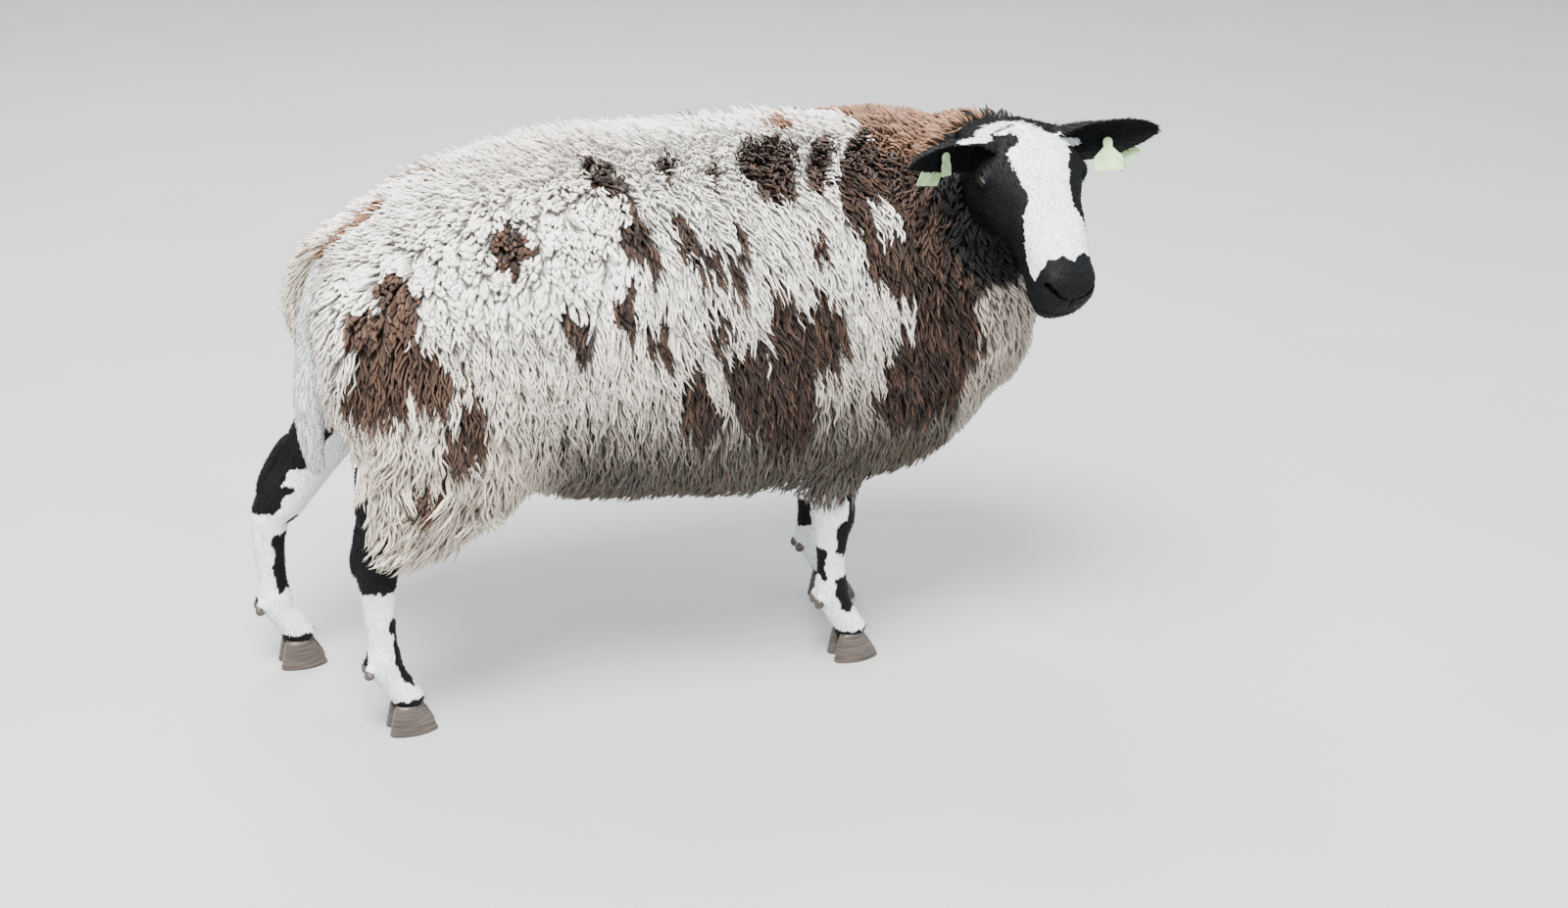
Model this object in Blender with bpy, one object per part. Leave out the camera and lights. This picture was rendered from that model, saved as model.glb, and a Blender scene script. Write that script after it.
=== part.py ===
"""A Dutch spotted sheep, life size, standing still with its head turned to its right.

Metres, +Z up, +X along the body towards the chest and +Y to the sheep's left. The body is laid out
with the middle of the trunk over the origin, and all of it is moved at the end so that the middle of
its outer box stands over the origin with the soles at Z = 0.
"""

import math
import random

import bmesh
import bpy
import numpy as np
from mathutils import Matrix, Vector
from mathutils.bvhtree import BVHTree

# The gap that touching pieces keep, and how far a piece is swollen to cut its neighbour clear
GAP = 0.0003
CLEARANCE = 0.0004

# The trunk, to the tips of its fleece: x, height of the back, height of the belly, half width
TRUNK = [
    (-0.410, 0.622, 0.385, 0.165),
    (-0.330, 0.674, 0.340, 0.182),
    (-0.230, 0.714, 0.300, 0.198),
    (-0.100, 0.733, 0.262, 0.207),
    (0.050, 0.730, 0.248, 0.208),
    (0.200, 0.729, 0.246, 0.202),
    (0.310, 0.728, 0.248, 0.186),
    (0.390, 0.712, 0.288, 0.162),
    (0.445, 0.690, 0.345, 0.135),
]
TRUNK_SQUARENESS = 2.35
RUMP_ROUND, CHEST_ROUND = 0.14, 0.16

# The neck, to the tips of its fleece: centre, half width, half depth. It bends to the sheep's right.
NECK = [
    ((0.250, 0.000, 0.560), 0.155, 0.160),
    ((0.340, -0.012, 0.598), 0.128, 0.132),
    ((0.385, -0.055, 0.632), 0.104, 0.110),
    ((0.400, -0.105, 0.662), 0.090, 0.098),
    ((0.398, -0.150, 0.682), 0.078, 0.088),
]

# The thigh on the near (right) side and the far (left) side: centre, half length fore and aft, half width
THIGH_RIGHT = [
    ((-0.255, -0.090, 0.580), 0.130, 0.085),
    ((-0.285, -0.108, 0.480), 0.158, 0.096),
    ((-0.302, -0.116, 0.400), 0.143, 0.090),
    ((-0.335, -0.118, 0.335), 0.105, 0.074),
    ((-0.385, -0.115, 0.262), 0.054, 0.046),
]
THIGH_LEFT = [
    ((-0.255, 0.090, 0.580), 0.130, 0.085),
    ((-0.300, 0.108, 0.490), 0.172, 0.096),
    ((-0.328, 0.116, 0.420), 0.148, 0.088),
    ((-0.358, 0.117, 0.370), 0.108, 0.072),
    ((-0.392, 0.114, 0.322), 0.060, 0.048),
]
# The woolly upper foreleg
UPPER_FORELEG = [
    ((0.205, 0.105, 0.480), 0.105, 0.070),
    ((0.205, 0.105, 0.390), 0.092, 0.066),
    ((0.203, 0.100, 0.320), 0.066, 0.054),
    ((0.203, 0.095, 0.252), 0.045, 0.038),
]

# The tail: centre and radius, and the width of the cleft on each side of it
TAIL = [
    ((-0.355, 0.000, 0.655), 0.030),
    ((-0.398, 0.000, 0.625), 0.0270),
    ((-0.420, 0.001, 0.566), 0.0235),
    ((-0.439, 0.002, 0.491), 0.0215),
    ((-0.448, 0.003, 0.428), 0.0205),
    ((-0.450, 0.004, 0.375), 0.0175),
    ((-0.446, 0.004, 0.322), 0.0110),
]
CLEFT = 0.015

# Bare lower legs down to the coronet, from the sole up and from the fetlock back:
# offset forward of the foot, height, half length fore and aft, half width
HIND_SHANK = [
    (0.004, 0.355, 0.046, 0.036),
    (0.002, 0.310, 0.040, 0.028),
    (0.000, 0.272, 0.034, 0.0245),
    (-0.004, 0.243, 0.0325, 0.0240),
    (-0.002, 0.212, 0.0245, 0.0200),
    (-0.001, 0.175, 0.0200, 0.0170),
    (0.000, 0.130, 0.0180, 0.0158),
    (0.001, 0.098, 0.0215, 0.0195),
    (0.010, 0.075, 0.0190, 0.0185),
    (0.022, 0.054, 0.0190, 0.0195),
    (0.031, 0.036, 0.0215, 0.0215),
]
FORE_SHANK = [
    (0.004, 0.335, 0.042, 0.034),
    (0.002, 0.285, 0.034, 0.029),
    (0.000, 0.240, 0.0290, 0.0260),
    (0.003, 0.212, 0.0275, 0.0255),
    (0.000, 0.180, 0.0215, 0.0205),
    (-0.001, 0.140, 0.0182, 0.0170),
    (0.000, 0.098, 0.0215, 0.0195),
    (0.009, 0.075, 0.0190, 0.0185),
    (0.021, 0.054, 0.0190, 0.0195),
    (0.030, 0.036, 0.0215, 0.0215),
]
# Point of the hock behind the hind shank, and each foot: fetlock place on the floor plan, and how far
# the leg above the hock or knee sweeps forward
HOCK_POINT = (-0.026, 0.256)
SWEEP_FROM = 0.205
FEET = {
    "hind_right": ((-0.399, -0.113), 0.15),
    "hind_left": ((-0.506, 0.116), 0.65),
    "fore_right": ((0.205, -0.092), 0.0),
    "fore_left": ((0.238, 0.090), 0.0),
}
CLAW_SPREAD = 0.0145

# The head: place of the poll, pitch of the face below the horizon, and heading on the floor plan
POLL = Vector((0.424, -0.190, 0.756))
FACE_PITCH = math.radians(47.0)
HEAD_ROLL = math.radians(3.3)
HEADING = Vector((0.048, -0.999, 0.0)).normalized()
# Along the face from the poll: place, forehead line, jaw line, half width
HEAD = [
    (-0.040, -0.074, -0.104, 0.034),
    (-0.025, -0.055, -0.116, 0.052),
    (0.000, -0.0275, -0.128, 0.061),
    (0.030, -0.0085, -0.138, 0.066),
    (0.060, 0.000, -0.138, 0.0660),
    (0.090, 0.003, -0.124, 0.0595),
    (0.122, 0.002, -0.106, 0.0500),
    (0.157, 0.001, -0.096, 0.0418),
    (0.186, -0.001, -0.095, 0.0375),
    (0.209, -0.006, -0.097, 0.0365),
    (0.224, -0.014, -0.095, 0.0338),
    (0.233, -0.024, -0.087, 0.0270),
    (0.239, -0.040, -0.068, 0.0140),
]
# Swellings and hollows of the head: along, out, up, radius, height
HEAD_FORMS = [
    (0.062, 0.064, -0.034, 0.020, 0.0060),
    (0.048, 0.056, -0.016, 0.018, 0.0060),
    (0.048, 0.060, -0.090, 0.032, 0.0050),
    (0.098, 0.050, -0.060, 0.022, 0.0030),
    (0.106, 0.048, -0.030, 0.020, -0.0035),
    (0.008, 0.052, -0.040, 0.022, 0.0100),
    (0.217, 0.028, -0.018, 0.012, 0.0032),
    (0.222, 0.024, -0.042, 0.014, 0.0026),
    (0.228, 0.000, -0.076, 0.014, 0.0025),
    (0.140, 0.040, -0.070, 0.020, -0.0025),
]
EYE = (0.061, 0.0612, -0.0350)
EYE_RADIUS, LID_RADIUS = 0.0130, 0.0151
EYE_OPENING, EYE_SLIT = 0.0235, 0.0125
MOUTH_CORNER, MOUTH_FRONT = (0.166, -0.071), (0.246, -0.061)
MOUTH_WIDTH, MOUTH_DEPTH = 0.0018, 0.005

# The ears, left (1) and right (-1): root on the head, share of their line outwards, forward and up,
# share of their opening forward and up, length, width, and how far the line sags to the tip
EARS = {
    1: ((0.008, 0.043, -0.035), (0.92, 0.34, -0.13), (0.78, -0.30), 0.138, 0.058, -0.026),
    -1: ((0.018, 0.043, -0.036), (0.92, 0.22, -0.05), (0.72, -0.62), 0.128, 0.060, 0.004),
}
EAR_THICKNESS = 0.0038
# Half width of an ear and how far its leaf curls round, along its length
EAR_AT = (0.0, 0.08, 0.18, 0.32, 0.48, 0.64, 0.78, 0.90, 0.97, 1.0)
EAR_HALF = (0.50, 0.62, 0.82, 0.97, 1.0, 0.94, 0.78, 0.53, 0.30, 0.12)
EAR_CURL = (2.4, 2.2, 1.85, 1.45, 1.2, 1.05, 0.95, 0.90, 0.90, 0.90)

# The ear tags: place along the ear and angle over its keel, tilt of the front flag and its length,
# width and shoulder, swing of the back flag to the tip of the ear and its sizes
TAGS = {
    1: (0.55, -0.45, 0.30, (0.036, 0.036, 0.019), 0.85, (0.042, 0.036, 0.019)),
    -1: (0.50, -0.42, 0.34, (0.024, 0.014, 0.010), 0.25, (0.047, 0.034, 0.019)),
}
TAG_STAND, TAG_THICKNESS, TAG_BUTTON = 0.0032, 0.0014, 0.0060

# Where the coat is parted into nodes: planes with a place on them and the way each node lies
NECK_PLANE = ((0.370, -0.020, 0.620), (0.62, -0.42, 0.66))
# The line on the side view that parts the thighs from the trunk: buttock, flank, and under the flank
THIGH_LINE = [(-0.900, 0.626), (-0.150, 0.360), (-0.150, -0.100), (-0.900, -0.100)]

# The fleece: depth of the core under the tips, sizes of a clump, how close the clumps are set, how far
# a tip stands up from the lie and how far a root sinks, and the way the wool hangs
CORE_DEPTH = 0.024
CLUMP_LENGTH, CLUMP_WIDTH, CLUMP_HEIGHT = 0.136, 0.102, 0.055
CLUMP_COUNT = 122
SPACING_ALONG, SPACING_ACROSS = 0.110, 0.083
TIP_RISE, ROOT_SINK = 0.007, 0.011
HANG = Vector((-0.38, 0.0, -1.0))
# Locks that hang in front of the hocks and behind the elbows: root, tip, width
HANGING_LOCKS = [
    ((-0.362, -0.152, 0.330), (-0.372, -0.150, 0.232), 0.052),
    ((-0.325, -0.158, 0.350), (-0.335, -0.162, 0.256), 0.060),
    ((-0.372, 0.148, 0.395), (-0.392, 0.150, 0.312), 0.050),
    ((0.190, -0.140, 0.330), (0.186, -0.138, 0.242), 0.055),
    ((0.190, 0.140, 0.330), (0.186, 0.138, 0.242), 0.055),
]

# Share of the faces that the core keeps, and the seed of all chance
CORE_SHARE = 0.05
CLUMP_SOLVER = "MANIFOLD"
UNION_SHARE = 0.69
SEED = 4757

# Colour and roughness of each node
WOOL, HAIR, HORN = (0.72, 0.66, 0.54), (0.030, 0.024, 0.020), (0.05, 0.042, 0.036)
LOOKS = (
    ("torso", (WOOL, 0.9)),
    ("neck", ((0.10, 0.062, 0.040), 0.9)),
    ("thigh", (WOOL, 0.9)),
    ("tail", ((0.55, 0.50, 0.43), 0.9)),
    ("head", (HAIR, 0.75)),
    ("ear", (HAIR, 0.75)),
    ("eye", ((0.012, 0.008, 0.005), 0.08)),
    ("tag", ((0.72, 0.74, 0.22), 0.4)),
    ("shank", ((0.50, 0.46, 0.40), 0.8)),
    ("claw", (HORN, 0.5)),
    ("dewclaw", (HORN, 0.5)),
)
FLAT_SHADED = ("tag", "claw_")


def spline(knots, values, at):
    """Values between the knots on a smooth line that doesn't overshoot them."""
    knots, values, at = (np.asarray(v, float) for v in (knots, values, at))
    step = np.diff(knots)
    slope = np.diff(values) / step
    tangent = np.empty(len(knots))
    tangent[0], tangent[-1] = slope[0], slope[-1]
    same_way = slope[1:] * slope[:-1] > 0
    mean = np.where(
        same_way, 2 * slope[1:] * slope[:-1] / np.where(same_way, slope[1:] + slope[:-1], 1), 0
    )
    tangent[1:-1] = mean
    k = np.clip(np.searchsorted(knots, at) - 1, 0, len(step) - 1)
    t = (at - knots[k]) / step[k]
    h, a, b = step[k], values[k], values[k + 1]
    rise = (3 * slope[k] - 2 * tangent[k] - tangent[k + 1]) * h
    curl = (tangent[k] + tangent[k + 1] - 2 * slope[k]) * h
    return a + tangent[k] * h * t + rise * t**2 + curl * t**3


def power(value, exponent):
    """A power that keeps the sign, for rounded squares."""
    return np.sign(value) * np.abs(value) ** exponent


def outwards(obj):
    """Turn all faces of a closed mesh outwards, as triangles."""
    mesh = bmesh.new()
    mesh.from_mesh(obj.data)
    bmesh.ops.triangulate(mesh, faces=mesh.faces[:])
    bmesh.ops.recalc_face_normals(mesh, faces=mesh.faces[:])
    mesh.to_mesh(obj.data)
    mesh.free()
    return obj


def new_object(name, points, faces):
    mesh = bpy.data.meshes.new(name)
    mesh.from_pydata([tuple(p) for p in points], [], faces)
    obj = bpy.data.objects.new(name, mesh)
    bpy.context.scene.collection.objects.link(obj)
    return outwards(obj)


def loft(name, rings, leaf=False):
    """A closed body through rings of equal count. Its ends close on a point, or as a leaf's in a strip."""
    rings = np.asarray(rings, float)
    rows, around = rings.shape[:2]
    points = rings.reshape(-1, 3)
    faces = []
    for row in range(rows - 1):
        for i in range(around):
            j = (i + 1) % around
            faces.append((row * around + i, row * around + j, (row + 1) * around + j, (row + 1) * around + i))
    if leaf:
        last = (rows - 1) * around
        for i in range(around // 2 - 1):
            j = around - 1 - i
            faces.append((i + 1, i, j, j - 1))
            faces.append((last + i, last + i + 1, last + j - 1, last + j))
        return new_object(name, points, faces)
    ends = [rings[0].mean(axis=0), rings[-1].mean(axis=0)]
    first, last = len(points), len(points) + 1
    for i in range(around):
        j = (i + 1) % around
        faces.append((first, j, i))
        faces.append((last, (rows - 1) * around + i, (rows - 1) * around + j))
    return new_object(name, np.vstack([points, ends]), faces)


def ring(centre, along, up, half_width, half_height, around, squareness=2.0):
    """A rounded ring round a centre, across a direction."""
    along = np.asarray(along, float) / np.linalg.norm(along)
    side = np.cross(up, along)
    side /= np.linalg.norm(side)
    top = np.cross(along, side)
    angle = np.arange(around) * 2 * math.pi / around
    out = power(np.cos(angle), 2 / squareness)[:, None] * side * half_width
    rise = power(np.sin(angle), 2 / squareness)[:, None] * top * half_height
    return np.asarray(centre, float) + out + rise


def resample(table, count):
    """Smooth sections between the named ones: each row is a centre and its sizes."""
    centres = np.array([row[0] for row in table], float)
    sizes = np.array([np.atleast_1d(row[1:]) for row in table], float).reshape(len(table), -1)
    run = np.concatenate([[0], np.cumsum(np.linalg.norm(np.diff(centres, axis=0), axis=1))])
    at = np.linspace(0, run[-1], count)
    columns = [spline(run, centres[:, k], at) for k in range(3)]
    return np.array(columns).T, [spline(run, sizes[:, k], at) for k in range(sizes.shape[1])]


def limb(name, table, count=12, around=20, up=(1.0, 0.0, 0.0), squareness=2.0):
    """A limb through its named sections. One size makes it round, two give it fore and aft and width."""
    centres, sizes = resample(table, count)
    along = np.gradient(centres, axis=0)
    rings = []
    for k, centre in enumerate(centres):
        length, width = sizes[0][k], sizes[-1][k]
        rings.append(ring(centre, along[k], up, width, length, around, squareness))
    return loft(name, rings)


def trunk():
    """The barrel of the body, rounded off at the rump and the chest."""
    table = np.array(TRUNK)
    run = table[:, 0]
    at = np.linspace(run[0], run[-1], 30)
    top, bottom, half = (spline(run, table[:, k], at) for k in (1, 2, 3))
    rings = []
    for k, x in enumerate(at):
        centre = (x, 0.0, (top[k] + bottom[k]) / 2)
        tall = (top[k] - bottom[k]) / 2
        rings.append(ring(centre, (1, 0, 0), (0, 0, 1), half[k], tall, 36, TRUNK_SQUARENESS))
    ends = []
    for index, reach, sign in ((0, RUMP_ROUND, -1), (-1, CHEST_ROUND, 1)):
        base = rings[index]
        middle = base.mean(axis=0)
        for turn in (0.3, 0.6, 0.85, 1.1, 1.35):
            out = math.sin(turn) * reach * 0.38
            ends.append((sign, turn, middle + (base - middle) * math.cos(turn) ** 0.8 + (sign * out, 0, 0)))
    back = [e[2] for e in ends if e[0] < 0][::-1]
    front = [e[2] for e in ends if e[0] > 0]
    return loft("trunk_form", back + rings + front)


def apply(obj, kind, **settings):
    """Add a modifier to an object and apply it."""
    modifier = obj.modifiers.new(kind.lower(), kind)
    for key, value in settings.items():
        setattr(modifier, key, value)
    graph = bpy.context.evaluated_depsgraph_get()
    mesh = bpy.data.meshes.new_from_object(obj.evaluated_get(graph))
    obj.modifiers.clear()
    old = obj.data
    obj.data = mesh
    bpy.data.meshes.remove(old)
    return obj


def remove(objects):
    for obj in list(objects):
        mesh = obj.data
        bpy.data.objects.remove(obj)
        bpy.data.meshes.remove(mesh)


def joined(name, objects):
    """One mesh object from several, their surfaces left as they are."""
    mesh = bmesh.new()
    for obj in objects:
        mesh.from_mesh(obj.data)
    data = bpy.data.meshes.new(name)
    mesh.to_mesh(data)
    mesh.free()
    remove(objects)
    result = bpy.data.objects.new(name, data)
    bpy.context.scene.collection.objects.link(result)
    return result


def combine(obj, others, operation="UNION", solver="MANIFOLD", keep=False):
    """One Boolean of an object with a whole collection of closed solids."""
    group = bpy.data.collections.new(obj.name + "_pieces")
    bpy.context.scene.collection.children.link(group)
    for other in others:
        group.objects.link(other)
    apply(obj, "BOOLEAN", operand_type="COLLECTION", collection=group, operation=operation, solver=solver)
    if keep:
        for other in others:
            group.objects.unlink(other)
    else:
        remove(others)
    bpy.data.collections.remove(group)
    return obj


def cut(obj, others, keep=False):
    """Cut other solids out of an object, or with keep leave those solids in place for further cuts."""
    for other in others:
        apply(obj, "BOOLEAN", object=other, operation="DIFFERENCE", solver="MANIFOLD")
    if not keep:
        remove(others)
    return obj


def copy_of(obj, name):
    twin = obj.copy()
    twin.data = obj.data.copy()
    twin.name = name
    bpy.context.scene.collection.objects.link(twin)
    return twin


def swollen(obj, by=CLEARANCE):
    """A copy of a solid with its surface moved outwards."""
    twin = copy_of(obj, obj.name + "_cutter")
    mesh = bmesh.new()
    mesh.from_mesh(twin.data)
    mesh.normal_update()
    bmesh.ops.recalc_face_normals(mesh, faces=mesh.faces[:])
    moves = [v.co + v.normal * by * v.calc_shell_factor() for v in mesh.verts]
    for vertex, place in zip(mesh.verts, moves):
        vertex.co = place
    mesh.to_mesh(twin.data)
    mesh.free()
    return twin


def largest_surface(obj):
    """Keep only the closed surface of an object that holds the most volume."""
    mesh = bmesh.new()
    mesh.from_mesh(obj.data)
    bmesh.ops.remove_doubles(mesh, verts=mesh.verts[:], dist=0.00002)
    bmesh.ops.triangulate(mesh, faces=mesh.faces[:])
    unseen = set(mesh.faces)
    shells = []
    while unseen:
        shell, queue = [], [unseen.pop()]
        while queue:
            face = queue.pop()
            shell.append(face)
            for edge in face.edges:
                for other in edge.link_faces:
                    if other in unseen:
                        unseen.remove(other)
                        queue.append(other)
        volume = 0.0
        for face in shell:
            a, b, c = (v.co for v in face.verts)
            volume += a.dot(b.cross(c)) / 6
        shells.append((volume, shell))
    keep = max(shells, key=lambda item: item[0])[1]
    drop = list(set(mesh.faces) - set(keep))
    bmesh.ops.delete(mesh, geom=drop, context="FACES")
    loose = [v for v in mesh.verts if not v.link_faces]
    bmesh.ops.delete(mesh, geom=loose, context="VERTS")
    mesh.to_mesh(obj.data)
    mesh.free()
    return obj


def block(name, low, high):
    """A box between two corners."""
    (x0, y0, z0), (x1, y1, z1) = low, high
    points = [(x, y, z) for z in (z0, z1) for y in (y0, y1) for x in (x0, x1)]
    faces = [(0, 2, 3, 1), (4, 5, 7, 6), (0, 1, 5, 4), (1, 3, 7, 5), (3, 2, 6, 7), (2, 0, 4, 6)]
    return new_object(name, points, faces)


def half_space(name, place, normal, gap):
    """A large block on the side that the normal points to, set back from the plane by half a gap."""
    place, normal = Vector(place), Vector(normal).normalized()
    obj = block(name, (-2, -2, 0), (2, 2, 2))
    turn = normal.to_track_quat("Z", "Y").to_matrix().to_4x4()
    obj.data.transform(Matrix.Translation(place + normal * gap / 2) @ turn)
    return obj


def thigh_prism(outward):
    """The space of both thighs below their line, made larger or smaller by a distance."""
    (x0, z0), (x1, z1), (x2, z2), (x3, z3) = THIGH_LINE
    slope = math.hypot(x1 - x0, z1 - z0) / (x1 - x0)
    lift = outward * slope
    line = [(x0, z0 + lift), (x1 + outward, z1 + lift), (x2 + outward, z2), (x3, z3)]
    return loft("prism", [[(x, y, z) for x, z in line] for y in (1.0, -1.0)])


# The frame of the head: along the face, out to the head's left, and up out of the forehead
ALONG = (HEADING * math.cos(FACE_PITCH) - Vector((0, 0, 1)) * math.sin(FACE_PITCH)).normalized()
LEFT_FLAT = Vector((0, 0, 1)).cross(HEADING).normalized()
UP_FLAT = ALONG.cross(LEFT_FLAT).normalized()
if UP_FLAT.z < 0:
    UP_FLAT = -UP_FLAT
LEFT = LEFT_FLAT * math.cos(HEAD_ROLL) - UP_FLAT * math.sin(HEAD_ROLL)
UP = UP_FLAT * math.cos(HEAD_ROLL) + LEFT_FLAT * math.sin(HEAD_ROLL)


def on_head(along, out, up):
    """A place in the world from one in the frame of the head."""
    return POLL + ALONG * along + LEFT * out + UP * up


def head_rows(rows, around):
    """Rings of the head, in its own frame."""
    table = np.array(HEAD)
    turn = np.linspace(0, 1, rows)
    run = table[:, 0]
    at = run[0] + (run[-1] - run[0]) * (turn - 0.08 * np.sin(2 * math.pi * turn) / math.pi)
    top, bottom, half = (spline(run, table[:, k], at) for k in (1, 2, 3))
    angle = np.arange(around) * 2 * math.pi / around
    rings = []
    for k, place in enumerate(at):
        egg = 1 + 0.16 * np.sin(angle)
        square = 2.15 if place < 0.18 else 2.35
        out = power(np.cos(angle), 2 / square) * half[k] * egg
        middle, tall = (top[k] + bottom[k]) / 2, (top[k] - bottom[k]) / 2
        up = middle + power(np.sin(angle), 2 / square) * tall
        rings.append(np.stack([np.full(around, place), out, up], axis=1))
    return np.array(rings)


def shaped_head(rings):
    """Raise and sink the forms of the face on its rings."""
    centre = rings.mean(axis=1, keepdims=True)
    outward = rings - centre
    outward /= np.maximum(np.linalg.norm(outward, axis=2, keepdims=True), 1e-6)
    result = rings.copy()
    for along, out, up, radius, height in HEAD_FORMS:
        for side in (1, -1) if out else (1,):
            away = np.linalg.norm(rings - np.array([along, side * out, up]), axis=2)
            result += outward * (height * np.exp(-((away / radius) ** 2)))[:, :, None]
    return result


def to_world(points):
    shape = np.asarray(points).shape
    flat = np.asarray(points).reshape(-1, 3)
    frame = np.array([ALONG, LEFT, UP])
    return (np.array(POLL) + flat @ frame).reshape(shape)


def ball(name, centre, sizes, turn=None, segments=16, rings=10):
    """A round body with three half sizes, turned by a matrix."""
    mesh = bmesh.new()
    bmesh.ops.create_uvsphere(mesh, u_segments=segments, v_segments=rings, radius=1.0)
    bmesh.ops.triangulate(mesh, faces=mesh.faces[:])
    data = bpy.data.meshes.new(name)
    mesh.to_mesh(data)
    mesh.free()
    place = Matrix.Translation(centre) @ (turn or Matrix()) @ Matrix.Diagonal((*sizes, 1.0))
    data.transform(place)
    obj = bpy.data.objects.new(name, data)
    bpy.context.scene.collection.objects.link(obj)
    return obj


def frame_matrix(x, y, z):
    """A rotation whose columns are three directions."""
    return Matrix((x, y, z)).transposed().to_4x4()


def eye_axes(side):
    """Directions at an eye: out of the head, along the slit and across it."""
    out = (LEFT * side * 0.93 + ALONG * 0.20 + UP * 0.30).normalized()
    slit = (ALONG * 0.96 - UP * 0.10)
    slit = (slit - out * slit.dot(out)).normalized()
    return out, slit, out.cross(slit).normalized()


def almond(name, centre, out, slit, across, length, width, depth):
    """A lens-shaped prism that opens the lids over an eye."""
    steps = 9
    outline = []
    for k in range(steps):
        t = -1 + 2 * k / (steps - 1)
        outline.append((t * length / 2, (1 - t * t) ** 0.75 * width / 2 + 0.0003))
    for k in range(1, steps - 1):
        t = 1 - 2 * k / (steps - 1)
        outline.append((t * length / 2, -((1 - t * t) ** 0.75) * width * 0.42 - 0.0003))
    rings = []
    for reach, scale in ((0.0, 0.55), (0.5, 0.85), (1.0, 1.2)):
        rings.append([centre + slit * a * scale + across * b * scale + out * depth * reach for a, b in outline])
    return loft(name, rings)


def build_head():
    """The bare head with lids over the eyes, nostrils and the line of the mouth."""
    head = loft("head", to_world(shaped_head(head_rows(22, 20))))
    tree_points = BVHTree.FromObject(head, bpy.context.evaluated_depsgraph_get())
    eyes, lids, openings, sockets = [], [], [], []
    for name, side in (("left", 1), ("right", -1)):
        centre = on_head(EYE[0], EYE[1] * side, EYE[2])
        out, slit, across = eye_axes(side)
        turn = frame_matrix(slit, across, out)
        eyes.append(ball("eye_" + name, centre, (EYE_RADIUS,) * 3, turn, 12, 8))
        lids.append(ball("lid", centre, (LID_RADIUS,) * 3, turn, 12, 8))
        sockets.append(ball("socket", centre, (EYE_RADIUS + CLEARANCE * 1.4,) * 3, turn, 12, 8))
        openings.append(almond("opening", centre, out, slit, across, EYE_OPENING, EYE_SLIT, 0.022))
    combine(head, lids)
    slits = []
    for side in (1, -1):
        middle = on_head(0.2255, 0.0245 * side, -0.0250)
        length = (LEFT * side * 0.80 - ALONG * 0.45 + UP * 0.30).normalized()
        inward = (-ALONG * 0.80 - LEFT * side * 0.40 - UP * 0.45).normalized()
        inward = (inward - length * inward.dot(length)).normalized()
        turn = frame_matrix(length, inward.cross(length), inward)
        slits.append(ball("nostril", middle, (0.0115, 0.0028, 0.0090), turn, 10, 8))
    cut(head, sockets + openings + slits)
    line = []
    steps = 17
    for k in range(steps):
        t = -1 + 2 * k / (steps - 1)
        share = 1 - abs(t) ** 1.6
        along = MOUTH_CORNER[0] + (MOUTH_FRONT[0] - MOUTH_CORNER[0]) * share
        up = MOUTH_CORNER[1] + (MOUTH_FRONT[1] - MOUTH_CORNER[1]) * share ** 1.5
        inside = on_head(min(along, 0.195), 0.0, up)
        towards = on_head(along, 0.040 * power(t, 0.7), up) - inside
        hit = tree_points.ray_cast(inside + towards.normalized() * 0.2, -towards.normalized())
        line.append((hit[0], towards.normalized()))
    rings = []
    for k, (place, out) in enumerate(line):
        ahead = (line[min(k + 1, steps - 1)][0] - line[max(k - 1, 0)][0]).normalized()
        across = out.cross(ahead).normalized()
        fade = 0.35 if k in (0, steps - 1) else 1.0
        half, deep = MOUTH_WIDTH / 2 * fade, MOUTH_DEPTH * fade
        rise = out * 0.004
        rings.append([place + rise + across * half * 2, place - out * deep, place + rise - across * half * 2])
    cut(head, [loft("mouth", rings)])
    return head, eyes


def ear_frame(side):
    """Root of an ear, and its directions: along it, out of its cup, and across it to the upper edge."""
    place, (out, forward, up), (ahead, rise) = EARS[side][:3]
    axis = (LEFT * side * out + HEADING * forward + Vector((0, 0, 1)) * up).normalized()
    root = on_head(place[0], place[1] * side, place[2])
    open_way = HEADING * ahead + Vector((0, 0, 1)) * rise
    open_way = (open_way - axis * open_way.dot(axis)).normalized()
    across = axis.cross(open_way).normalized()
    return root, axis, open_way, across if across.z > 0 else -across


def ear_section(side, place):
    """Middle of the arc of an ear at a share of its length, its radius and how far it curls."""
    root, axis, open_way, across = ear_frame(side)
    length, width, sag = EARS[side][3:]
    half = float(spline(EAR_AT, EAR_HALF, place)) * width / 2
    curl = float(spline(EAR_AT, EAR_CURL, place))
    radius = half / math.sin(min(curl, math.pi / 2))
    middle = root + axis * length * place - Vector((0, 0, 1)) * sag * place**2
    return middle + open_way * radius * 0.55, radius, curl


def on_ear(side, place, angle, depth):
    """A point of an ear's leaf, at an angle from its keel and a depth under its back."""
    root, axis, open_way, across = ear_frame(side)
    centre, radius, curl = ear_section(side, place)
    reach = radius - depth
    return centre - open_way * math.cos(angle) * reach + across * math.sin(angle) * reach


def build_ear(name, side):
    """A leaf-shaped ear, cupped along its length, with its root in the head."""
    rings = []
    for place in EAR_AT:
        curl = ear_section(side, place)[2]
        thick = EAR_THICKNESS * (1.0 if 0.15 < place < 0.9 else (1.25 if place <= 0.15 else 0.75))
        arc = np.linspace(-curl, curl, 8)
        outer = [on_ear(side, place, a, 0.0) for a in arc]
        inner = [on_ear(side, place, a, thick) for a in arc[::-1]]
        rings.append(outer + inner)
    return loft("ear_" + name, rings, leaf=True)


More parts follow.
